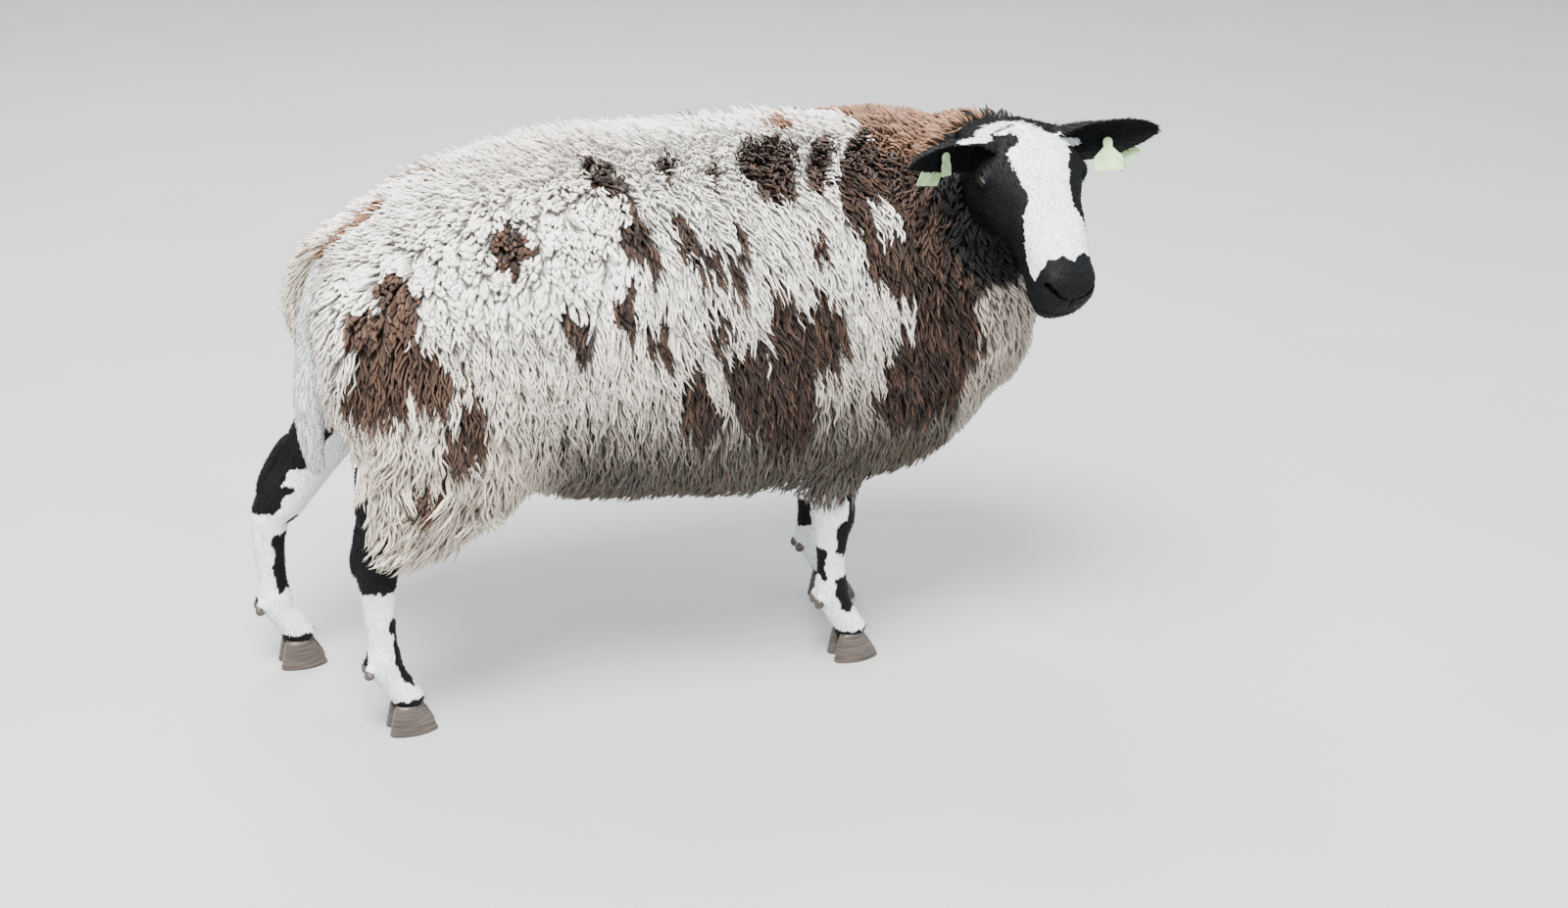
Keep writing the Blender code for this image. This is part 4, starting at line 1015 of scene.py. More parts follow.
def head_colour(points):
    """Black hair with the white blaze, bare at the nostrils, lips and rims of the eyes."""
    local = to_head(points)
    fuzz = 0.93 + 0.09 * lattice_noise(local, 0.007, 6.0) + 0.07 * lattice_noise(local, 0.003, 8.0)
    colour = np.where(blaze(points)[:, None], np.array(WHITE_HAIR) * fuzz[:, None], BLACK_HAIR)
    return np.where((local[:, 0] > MUZZLE_FROM)[:, None], MUZZLE, colour)


def leg_colour(points, name):
    """White hair of a leg with its black patches."""
    x, y, z = points.T
    angle = np.degrees(np.arctan2(-(y - FEET[name][0][1]), x - shank_middle(z, name)))
    angle = angle + 14 * lattice_noise(points, 0.012, 1.5)
    height = z + 0.006 * lattice_noise(points, 0.010, 2.5) + 0.002 * lattice_noise(points, 0.004, 3.5)
    black = np.zeros(len(points), bool)
    for centre, low, high, half in LEG_PATCHES[name]:
        away = np.abs((angle - centre + 180) % 360 - 180)
        black |= (away < half) & (height > low) & (height < high)
    black |= height < CORONET
    return np.where(black[:, None], BLACK_HAIR, WHITE_HAIR)


# Materials


# Half sizes of the slot of a pupil, in shares of the eye's radius, and its turn from the lids in degrees
PUPIL_LENGTH, PUPIL_WIDTH, PUPIL_TURN = 0.36, 0.135, 28


def material(name, **settings):
    """A Principled material and its node tree; settings go straight onto the shader's own sockets."""
    mat = bpy.data.materials.new(name)
    mat.use_nodes = True
    shader = mat.node_tree.nodes["Principled BSDF"]
    for key, value in settings.items():
        shader.inputs[key.replace("_", " ")].default_value = value
    return mat, mat.node_tree, shader


def node(tree, kind, inputs=(), **settings):
    made = tree.nodes.new(kind)
    for key, value in settings.items():
        setattr(made, key, value)
    for key, value in dict(inputs).items():
        if isinstance(value, bpy.types.NodeSocket):
            tree.links.new(value, made.inputs[key])
        else:
            made.inputs[key].default_value = value
    return made


def attribute(tree, name):
    return node(tree, "ShaderNodeAttribute", attribute_name=name)


def stretched(tree, vector, scale):
    """A vector scaled along each of its axes."""
    return node(tree, "ShaderNodeMapping", {"Vector": vector, "Scale": scale}).outputs[0]


def noise(tree, vector, scale, detail, **more):
    inputs = {"Vector": vector, "Scale": scale, "Detail": detail, **more}
    return node(tree, "ShaderNodeTexNoise", inputs).outputs[0]


def two_colours(tree, value, low, high):
    """A colour from a value: each end is the place where it starts, and its colour."""
    ramp = node(tree, "ShaderNodeValToRGB", {"Fac": value})
    for element, (place, colour) in zip(ramp.color_ramp.elements, (low, high)):
        element.position, element.color = place, (*colour, 1)
    return ramp.outputs[0]


def shaded_coat(tree, shader, fibres, dark, light):
    """Take the colour of the coat, made darker and lighter by the noise of its fibres."""
    base = attribute(tree, "coat").outputs["Color"]
    inputs = {"Value": fibres, "From Min": 0.3, "From Max": 0.7, "To Min": dark, "To Max": light}
    factor = node(tree, "ShaderNodeMapRange", inputs).outputs[0]
    colour = node(tree, "ShaderNodeVectorMath", {0: base, 1: factor}, operation="MULTIPLY")
    tree.links.new(colour.outputs[0], shader.inputs["Base Color"])


def bumps(tree, shader, rows):
    """Bumps one over the other, each from a height, a strength and a distance."""
    normal = None
    for height, strength, distance in rows:
        inputs = {"Height": height, "Strength": strength, "Distance": distance}
        if normal is not None:
            inputs["Normal"] = normal
        normal = node(tree, "ShaderNodeBump", inputs).outputs[0]
    tree.links.new(normal, shader.inputs["Normal"])


def wool_material():
    looks = {"Roughness": 0.95, "Specular_IOR_Level": 0.15, "Sheen_Weight": 0.08, "Sheen_Roughness": 0.6}
    mat, tree, shader = material("wool", **looks)
    strand = attribute(tree, "strand").outputs["Vector"]
    fibres = noise(tree, stretched(tree, strand, (1900.0, 1900.0, 150.0)), 1.0, 2.0, Roughness=0.6)
    crimps = noise(tree, stretched(tree, strand, (260.0, 260.0, 420.0)), 1.0, 1.0)
    shaded_coat(tree, shader, fibres, 0.78, 1.16)
    bumps(tree, shader, [(crimps, 0.55, 0.0022), (fibres, 0.75, 0.0011)])
    return mat


def hair_material():
    mat, tree, shader = material("short_hair", Roughness=0.62, Specular_IOR_Level=0.13)
    tree.links.new(attribute(tree, "coat").outputs["Color"], shader.inputs["Base Color"])
    return mat


def skin_material():
    """Hair too short to be mesh: fine streaks along the lie that the skin carries as an attribute."""
    mat, tree, shader = material("skin", Roughness=0.60, Specular_IOR_Level=0.11)
    flow = attribute(tree, "strand").outputs["Vector"]
    fibres = noise(tree, stretched(tree, flow, (240.0, 1500.0, 1500.0)), 1.0, 3.0, Roughness=0.6)
    soft = noise(tree, flow, 160.0, 3.0)
    shaded_coat(tree, shader, fibres, 0.80, 1.18)
    bumps(tree, shader, [(soft, 0.35, 0.0012), (fibres, 0.6, 0.0007)])
    return mat


def horn_material():
    mat, tree, shader = material("horn", Roughness=0.42, Coat_Weight=0.08, Coat_Roughness=0.35)
    place = node(tree, "ShaderNodeTexCoord").outputs["Object"]
    rings = noise(tree, stretched(tree, place, (25.0, 25.0, 420.0)), 1.0, 3.0)
    grain = noise(tree, place, 900.0, 2.0)
    colour = two_colours(tree, rings, (0.30, (0.016, 0.013, 0.012)), (0.78, (0.115, 0.090, 0.068)))
    tree.links.new(colour, shader.inputs["Base Color"])
    bumps(tree, shader, [(rings, 0.5, 0.0012), (grain, 0.2, 0.0004)])
    return mat


def outside(tree, across, down, low, high):
    """0 within an outline round the middle of the eye, and 1 outside of it."""
    flat = node(tree, "ShaderNodeCombineXYZ", {0: across, 1: down}).outputs[0]
    away = node(tree, "ShaderNodeVectorMath", {0: flat}, operation="LENGTH").outputs["Value"]
    return node(tree, "ShaderNodeMapRange", {"Value": away, "From Min": low, "From Max": high}).outputs[0]


def eye_material():
    """A dark brown iris with a level slot of a pupil under a wet cornea."""
    mat, tree, shader = material("eye", Roughness=0.10, Coat_Weight=1.0, Coat_Roughness=0.02)
    local = attribute(tree, "strand").outputs["Vector"]
    parts = node(tree, "ShaderNodeSeparateXYZ", {"Vector": local}).outputs
    wide = node(tree, "ShaderNodeMath", {0: parts[0], 1: PUPIL_LENGTH}, operation="DIVIDE").outputs[0]
    tall = node(tree, "ShaderNodeMath", {0: parts[1], 1: PUPIL_WIDTH}, operation="DIVIDE").outputs[0]
    slot = outside(tree, wide, tall, 0.92, 1.10)
    rim = outside(tree, parts[0], parts[1], 0.60, 0.70)
    streaks = noise(tree, local, 9.0, 4.0)
    iris = two_colours(tree, streaks, (0.35, (0.0050, 0.0028, 0.0015)), (0.70, (0.0180, 0.0095, 0.0045)))
    inner = {0: slot, 6: (0.002, 0.002, 0.003, 1), 7: iris}
    inner = node(tree, "ShaderNodeMix", inner, data_type="RGBA").outputs[2]
    whole = {0: rim, 6: inner, 7: (0.012, 0.008, 0.006, 1)}
    whole = node(tree, "ShaderNodeMix", whole, data_type="RGBA").outputs[2]
    tree.links.new(whole, shader.inputs["Base Color"])
    return mat


def tag_material():
    looks = {"Roughness": 0.38, "Subsurface_Weight": 0.15, "Subsurface_Radius": (0.004, 0.004, 0.002)}
    mat, tree, shader = material("tag_plastic", **looks)
    place = node(tree, "ShaderNodeTexCoord").outputs["Object"]
    dirt = noise(tree, place, 90.0, 5.0)
    grain = noise(tree, place, 1500.0, 2.0)
    colour = two_colours(tree, dirt, (0.33, (0.30, 0.46, 0.20)), (0.62, (0.50, 0.70, 0.36)))
    tree.links.new(colour, shader.inputs["Base Color"])
    bumps(tree, shader, [(grain, 0.15, 0.0003)])
    return mat


def finish_piece(obj, mat, replaces=()):
    """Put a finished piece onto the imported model, on its body and with its material."""
    obj.data.materials.clear()
    obj.data.materials.append(mat)
    obj.data.transform(Matrix.Translation(OFFSET))
    obj.data.polygons.foreach_set("use_smooth", np.ones(len(obj.data.polygons), bool))
    obj.data.update()
    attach(obj, "root")
    if replaces:
        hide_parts(*replaces)
    return obj


def set_colour(obj, colours):
    rgba = np.ones((len(colours), 4), np.float32)
    rgba[:, :3] = colours
    layer = obj.data.color_attributes.new("coat", "FLOAT_COLOR", "POINT")
    layer.data.foreach_set("color", rgba.ravel())


def set_vectors(obj, values):
    layer = obj.data.attributes.new("strand", "FLOAT_VECTOR", "POINT")
    layer.data.foreach_set("vector", np.ascontiguousarray(values, np.float32).ravel())


# Strands of wool and hair

# Size of a strand's patch on the bake map, and how far off a surface still counts for a place
BAKE_PATCH, NEAREST = 0.003, 0.045


def strand_mesh(name, paths, across, widths, heights, colours, uvs, seed, sides):
    """Many closed tapering strands as one mesh.

    paths is (strands, rings + 1, 3) with the tip last, across a direction over each strand, widths
    and heights the half sizes of its rings, colours (strands, rings + 1, 3), and uvs the place of
    each root on the unwrap of the skin."""
    rng = np.random.default_rng(seed)
    count, rings = paths.shape[0], paths.shape[1] - 1
    tangent = unit(np.gradient(paths, axis=1))[:, :rings]
    side = unit(across[:, None] - tangent * np.sum(across[:, None] * tangent, axis=2, keepdims=True))
    out = np.cross(tangent, side)
    angle = round_angles(sides) + math.pi / 2
    cos, sin = np.cos(angle)[None, None, :, None], np.sin(angle)[None, None, :, None]
    body = paths[:, :rings, None] + side[:, :, None] * widths[:, :, None, None] * cos
    body = body + out[:, :, None] * heights[:, :, None, None] * sin
    points = np.concatenate([body.reshape(count, rings * sides, 3), paths[:, rings:]], axis=1)
    # Faces: the sides of a strand ring by ring, its point and its root
    each = rings * sides + 1
    near = np.arange(sides)
    far = (near + 1) % sides
    row = np.arange(rings - 1)[:, None] * sides
    quads = np.stack([row + near, row + far, row + sides + far, row + sides + near], axis=2)
    last = (rings - 1) * sides
    tips = np.stack([last + near, last + far, np.full(sides, each - 1)], axis=1)
    corners = np.concatenate([quads.ravel(), tips.ravel(), near[::-1]])
    lengths = np.concatenate([np.full((rings - 1) * sides, 4), np.full(sides, 3), [sides]])
    begins = np.concatenate([[0], np.cumsum(lengths)[:-1]])
    strands = np.arange(count)[:, None]
    loops = (strands * each + corners).ravel()
    begins = (strands * corners.size + begins).ravel()
    mesh = bpy.data.meshes.new(name)
    mesh.vertices.add(count * each)
    mesh.vertices.foreach_set("co", points.astype(np.float32).ravel())
    mesh.loops.add(loops.size)
    mesh.loops.foreach_set("vertex_index", loops.astype(np.int32))
    mesh.polygons.add(begins.size)
    mesh.polygons.foreach_set("loop_start", begins.astype(np.int32))
    mesh.update(calc_edges=True)
    obj = linked(name, mesh)
    # The bake map: each strand is a patch at its root's place
    ring_v = np.concatenate([np.repeat(np.arange(rings) / rings, sides), [1.0]]) - 0.5
    side_u = np.concatenate([np.tile(np.abs(2 * near / sides - 1), rings), [0.5]]) - 0.5
    patch = np.stack([side_u, ring_v], axis=1) * BAKE_PATCH
    point_uv = (uvs[:, None] + patch[None]).reshape(-1, 2)
    layer = mesh.uv_layers.new(name="OFBake")
    layer.data.foreach_set("uv", point_uv[loops].astype(np.float32).ravel())
    # Colours, and places along and over the strand for the fibres
    shades = np.repeat(colours[:, :rings], sides, axis=1)
    shades = np.concatenate([shades, colours[:, rings:]], axis=1)
    set_colour(obj, shades.reshape(-1, 3))
    steps = np.linalg.norm(np.diff(paths, axis=1), axis=2)
    run = np.concatenate([np.zeros((count, 1)), np.cumsum(steps, axis=1)], axis=1)
    local = np.zeros((count, each, 3))
    local[:, :-1, 0] = (widths[:, :, None] * np.cos(angle)).reshape(count, -1)
    local[:, :-1, 1] = (heights[:, :, None] * np.sin(angle)).reshape(count, -1)
    local[:, :-1, 2] = np.repeat(run[:, :rings], sides, axis=1)
    local[:, -1, 2] = run[:, -1]
    local += rng.random((count, 1, 3)) * 4
    set_vectors(obj, local.reshape(-1, 3))
    return obj


def scattered(obj, seed, amount=0, gap=1.0):
    """Random places all over a mesh, evenly by area, with the outward directions there.

    There are four in each square of a gap, or else a given amount."""
    rng = np.random.default_rng(seed)
    mesh = obj.data
    mesh.calc_loop_triangles()
    faces = np.empty(len(mesh.loop_triangles) * 3, np.int32)
    mesh.loop_triangles.foreach_get("vertices", faces)
    faces = faces.reshape(-1, 3)
    corners, normals = mesh_arrays(obj)
    a, b, c = corners[faces[:, 0]], corners[faces[:, 1]], corners[faces[:, 2]]
    area = np.linalg.norm(np.cross(b - a, c - a), axis=1)
    amount = amount or int(float(area.sum() / 2) / gap**2 * 4)
    picks = rng.choice(len(faces), size=amount, p=area / area.sum())
    cuts = np.sort(rng.random((amount, 2)), axis=1)
    weights = np.stack([cuts[:, 0], cuts[:, 1] - cuts[:, 0], 1 - cuts[:, 1]], axis=1)
    places = np.einsum("ij,ijk->ik", weights, corners[faces[picks]])
    return places, unit(np.einsum("ij,ijk->ik", weights, normals[faces[picks]]))


def point_tree(places):
    tree = KDTree(len(places))
    for i, place in enumerate(places):
        tree.insert(place, i)
    tree.balance()
    return tree


def lie_distance(gaps, lie, along, across):
    """Squares of the lengths of some gaps, measured in steps along and across a lie."""
    down = gaps @ lie
    side = np.sqrt(np.maximum(np.einsum("ij,ij->i", gaps, gaps) - down**2, 0))
    return (down / along) ** 2 + (side / across) ** 2


def spaced(places, lies, outs, along, across):
    """Of many places, those that keep their distance along and across the lie."""
    tree = point_tree(places)
    free = np.ones(len(places), bool)
    kept = []
    for i in range(len(places)):
        if not free[i]:
            continue
        kept.append(i)
        found = tree.find_range(places[i], max(along[i], across[i]))
        near = np.fromiter((f[1] for f in found), int, len(found))
        close = lie_distance(places[near] - places[i], lies[i], along[i], across[i]) < 1
        close &= outs[near] @ outs[i] > -0.3
        free[near[close]] = False
    return np.array(kept)


def surface_tree(obj):
    return BVHTree.FromObject(obj, bpy.context.evaluated_depsgraph_get())


def clear_of(trees, places, gap):
    """Which places lie outside of some closed surfaces, by at least a gap."""
    ok = np.ones(len(places), bool)
    for tree in trees:
        for i in np.flatnonzero(ok):
            hit, normal, _, away = tree.find_nearest(places[i], NEAREST)
            if hit is not None and (away < gap or (Vector(places[i]) - hit).dot(normal) < 0):
                ok[i] = False
    return ok


# The skin

# Share of the wool's colour that the skin under it has, darkened as painted shade so that gaps between
# strands read as wool in shadow
UNDER_WOOL_SHADE = 0.62
OFFSET = sum(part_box("eye_left"), Vector()) / 2 - on_head(*EYE)

outline = body_form()
body_skin = moved_out(apply(body_form(), "SMOOTH", factor=0.5, iterations=1), -WOOL_DEPTH)
apply(body_skin, "REMESH", mode="VOXEL", voxel_size=BODY_VOXEL)
apply(body_skin, "SMOOTH", factor=0.5, iterations=4)
head_skin = build_head()
leg_skins = {leg_name: foot_skin(leg_name) for leg_name in FEET}
# The tail hangs free a little behind its solid, and its root is inside the body
tail_rows = [
    ((-0.330, 0.000, 0.596), 0.0160), ((-0.388, 0.000, 0.594), 0.0200), ((-0.422, 0.000, 0.566), 0.0215),
]
tail_rows += [((x - 0.004, y, z), radius - 0.0020) for (x, y, z), radius in TAIL[3:]]
tail_skin = limb("tail_skin", tail_rows, 60, 36)

outline_tree = surface_tree(outline)
body_tree = surface_tree(body_skin)
head_tree = surface_tree(head_skin)
tail_tree = surface_tree(tail_skin)
leg_trees = {n: surface_tree(o) for n, o in leg_skins.items()}


def copy_of(obj, name):
    return linked(name, obj.data.copy())


def leg_near(points):
    """Which leg each place is nearest to on the floor plan, as its number."""
    feet = np.array([place for place, _ in FEET.values()])
    sweeps = np.array([sweep for _, sweep in FEET.values()])
    x = feet[None, :, 0] + sweeps[None] * np.maximum(points[:, 2:3] - SWEEP_FROM, 0)
    return np.argmin(np.hypot(points[:, 0:1] - x, points[:, 1:2] - feet[None, :, 1]), axis=1)


def on_surface(points, tree, candidates, gap=0.0015):
    """Which of some points lie on a surface."""
    found = np.zeros(len(points), bool)
    for i in np.flatnonzero(candidates):
        found[i] = tree.find_nearest(points[i], gap)[0] is not None
    return found


def skin_regions(points):
    """Which places of the skin are on the head, the legs and the tail."""
    x, y, z = points.T
    head = on_surface(points, head_tree, (x > 0.24) & (y < -0.06) & (z > 0.45))
    low = (z < 0.42) & (np.abs(y) > 0.05)
    legs = np.zeros(len(points), bool)
    for leg_tree in leg_trees.values():
        legs |= on_surface(points, leg_tree, low & ~legs)
    tail = on_surface(points, tail_tree, (x < -0.34) & (np.abs(y) < 0.04) & (z > 0.28))
    return head, legs & ~head, tail & ~legs


def tail_colour(points):
    streak = lattice_noise(points * (1.0, 1.0, 0.3), 0.006, 4.0)
    return mixed(TAIL_WHITE, TAIL_GREY, np.clip(0.10 + 0.45 * streak, 0, 1))


def skin_colour(points, head, legs, tail):
    # The skin under the wool takes a darker share of the wool's colour: painted shade
    colour = wool_colour(points) * UNDER_WOOL_SHADE
    colour[head] = head_colour(points[head])
    nearest = leg_near(points)
    for index, name in enumerate(FEET):
        chosen = legs & (nearest == index)
        colour[chosen] = leg_colour(points[chosen], name)
    colour[tail] = tail_colour(points[tail])
    return colour


skin = copy_of(body_skin, "skin")
combine(skin, [copy_of(part, "part") for part in (head_skin, tail_skin, *leg_skins.values())])
skin_places, _ = mesh_arrays(skin)
on_face, on_legs, on_tail = skin_regions(skin_places)
set_colour(skin, skin_colour(skin_places, on_face, on_legs, on_tail))
lie = skin_places.copy()
lie[on_face] = to_head(skin_places[on_face])
lie[on_legs | on_tail] = skin_places[on_legs | on_tail][:, [2, 0, 1]]
set_vectors(skin, lie)

# The fleece

# How far apart the strands stand, as a share, and how many places are tried for them
WOOL_SPREAD = 0.86
WOOL_TRIES = 320000
# Where the pieces of the fleece meet along the body
REAR_END, FLANK_END = -0.20, 0.12
# The tail hangs free between two heights, and strands within a gap of it keep a share of their length
TAIL_FREE, TAIL_GAP, TAIL_SHARE = (0.29, 0.590), 0.015, 0.40
# Usual half width of a strand
STRAND_HALF = 0.0026
# Steps along a strand that hangs and one that stands on end, and their half widths at each
WOOL_STEPS = np.array([0.0, 0.24, 0.48, 0.72, 0.90, 1.0])
END_STEPS = np.array([0.0, 0.30, 0.60, 0.84, 0.965, 1.0])
KEEN = np.array([0.65, 0.92, 1.00, 0.84, 0.52])
BLUNT = np.array([0.70, 0.92, 1.00, 1.00, 0.76])


def shaggy(places):
    """Where the wool hangs in large loose tufts: low on the thighs."""
    return smooth_step(-places[:, 0], 0.20, 0.27) * smooth_step(-places[:, 2], -0.49, -0.43)


def wool_lie(places, outs):
    """The way the wool lies: it hangs, swept forward on the flank and back on the thigh, belly and back."""
    x, _, z = places.T
    rise = outs[:, 2]
    forward = 0.17 * bell(x - 0.10, 0.22) * smooth_step(z, 0.38, 0.52)
    backward = 0.42 * smooth_step(-x, 0.22, 0.36) * smooth_step(-z, -0.46, -0.36)
    under = 0.50 * smooth_step(-rise, 0.3, 0.8)
    top = 0.35 * smooth_step(rise, 0.75, 0.95)
    way = np.stack([forward - backward - under - top, np.zeros(len(x)), -np.ones(len(x))], axis=1)
    from_head = unit((to_head(places) * (0.3, 1, 1) - (0.0, 0, -0.060)) @ HEAD_FRAME)
    near = 0.45 * (1 - smooth_step(near_head(places), 0.120, 0.170))
    way = unit(way) * (1 - near)[:, None] + from_head * near[:, None]
    turn = 0.22 * lattice_noise(places, 0.050, 11.0) + 0.16 * lattice_noise(places, 0.017, 13.0)
    turn += 0.75 * shaggy(places) * lattice_noise(places, 0.034, 31.0)
    return turned(along_surface(way, outs), outs, turn)


def wool_lay(places, outs):
    """How flat the wool lies: 0 stands on end, 1 hangs."""
    x = places[:, 0]
    turn = np.abs(girth(places))
    flank = 0.30 + 0.66 * smooth_step(turn, 0.45, 0.95)
    hip = 0.18 + 0.66 * smooth_step(turn, 0.85, 1.45)
    lay = hip + (flank - hip) * smooth_step(x, -0.17, -0.03)
    front = smooth_step(x, 0.28, 0.36)
    lay = lay * (1 - front) + 0.66 * front
    rear = smooth_step(-outs[:, 0], 0.5, 0.8)
    lay = lay * (1 - rear) + 0.70 * rear
    return np.clip(lay + 0.10 * lattice_noise(places, 0.06, 17.0), 0.08, 1.0)


def wool_chart(places, outs):
    """The skin of the body unrolled: along it, and round it."""
    reach = np.hypot(places[:, 1], places[:, 2] - GIRTH_CENTRE)
    end = np.sign(outs[:, 0]) * np.maximum(0.24 - reach, 0) * smooth_step(np.abs(outs[:, 0]), 0.3, 0.8)
    return np.stack([places[:, 0] + end, girth(places) * GIRTH_RADIUS], axis=1)


def fitted(uv):
    """A chart moved and scaled into the square of a map."""
    low, high = uv.min(axis=0), uv.max(axis=0)
    return 0.01 + 0.98 * (uv - low) / np.maximum(high - low, 1e-6)


def parted(places, lies, outs, along, across, seed):
    """The bundle that each strand belongs to, as the strand at its middle, and its way to the next one."""
    rng = np.random.default_rng(seed)
    order = rng.permutation(len(places))
    heads = order[spaced(places[order], lies[order], outs[order], along[order], across[order])]
    tree = point_tree(places[heads])
    owner, margin = np.empty(len(places), int), np.empty(len(places))
    for i, place in enumerate(places):
        near = heads[[found[1] for found in tree.find_n(place, 9)]]
        away = lie_distance(places[near] - place, lies[i], along[i], across[i])
        away = away + 9 * (outs[near] @ outs[i] < 0)
        owner[i] = near[np.argmin(away)]
        first, second = np.sqrt(np.partition(away, 1)[:2])
        margin[i] = (second - first) * across[i] / 2
    return owner, margin


def tail_beside(points):
    """Middle and radius of the tail at the height of some points."""
    rows = np.array([(*centre, radius) for centre, radius in TAIL])
    down = -points[..., 2]
    return [np.interp(down, -rows[:, 2], rows[:, k]) for k in (0, 1, 3)]


def over_tail(paths, gap):
    """Which strands come within a gap of the hanging part of the tail, or over it."""
    tail_x, tail_y, radius = tail_beside(paths)
    over = (np.abs(paths[..., 1] - tail_y) < radius + gap) & (paths[..., 0] < tail_x + radius + gap)
    over &= (paths[..., 2] < TAIL_FREE[1]) & (paths[..., 2] > TAIL_FREE[0])
    return over.any(axis=1)


def end_on(places, outs):
    """Where the wool stands so close that only the ends of its locks show: over the hips and loin."""
    turn = np.abs(girth(places))
    hip = smooth_step(turn, 0.30, 0.55) * (1 - smooth_step(turn, 0.95, 1.40))
    hip *= 1 - smooth_step(places[:, 0], -0.14, 0.00)
    return hip * (1 - smooth_step(-outs[:, 0], 0.55, 0.85))


def wool_places():
    """Where the strands stand, their directions outwards and along the lie, and how flat they lie."""
    places, outs = scattered(body_skin, SEED, WOOL_TRIES)
    lies, lay = wool_lie(places, outs), wool_lay(places, outs)
    fine = WOOL_SPREAD * (1 - 0.25 * end_on(places, outs))
    along, across = (0.0042 + 0.0064 * lay) * fine, (0.0050 - 0.0015 * lay) * fine
    kept = spaced(places, lies, outs, along, across)
    kept = kept[clear_of([head_tree, tail_tree, *leg_trees.values()], places[kept], 0.001)]
    return places[kept], outs[kept], lies[kept], lay[kept]


def wool_heights(places, outs):
    """How far it is from each place out to the tips of the wool."""
    heights = np.empty(len(places))
    for i in range(len(places)):
        hit = outline_tree.ray_cast(Vector(places[i]), Vector(outs[i]))
        heights[i] = hit[3] if hit[0] is not None and hit[3] < 0.05 else WOOL_DEPTH
    return np.clip(heights, 0.008, 0.026)


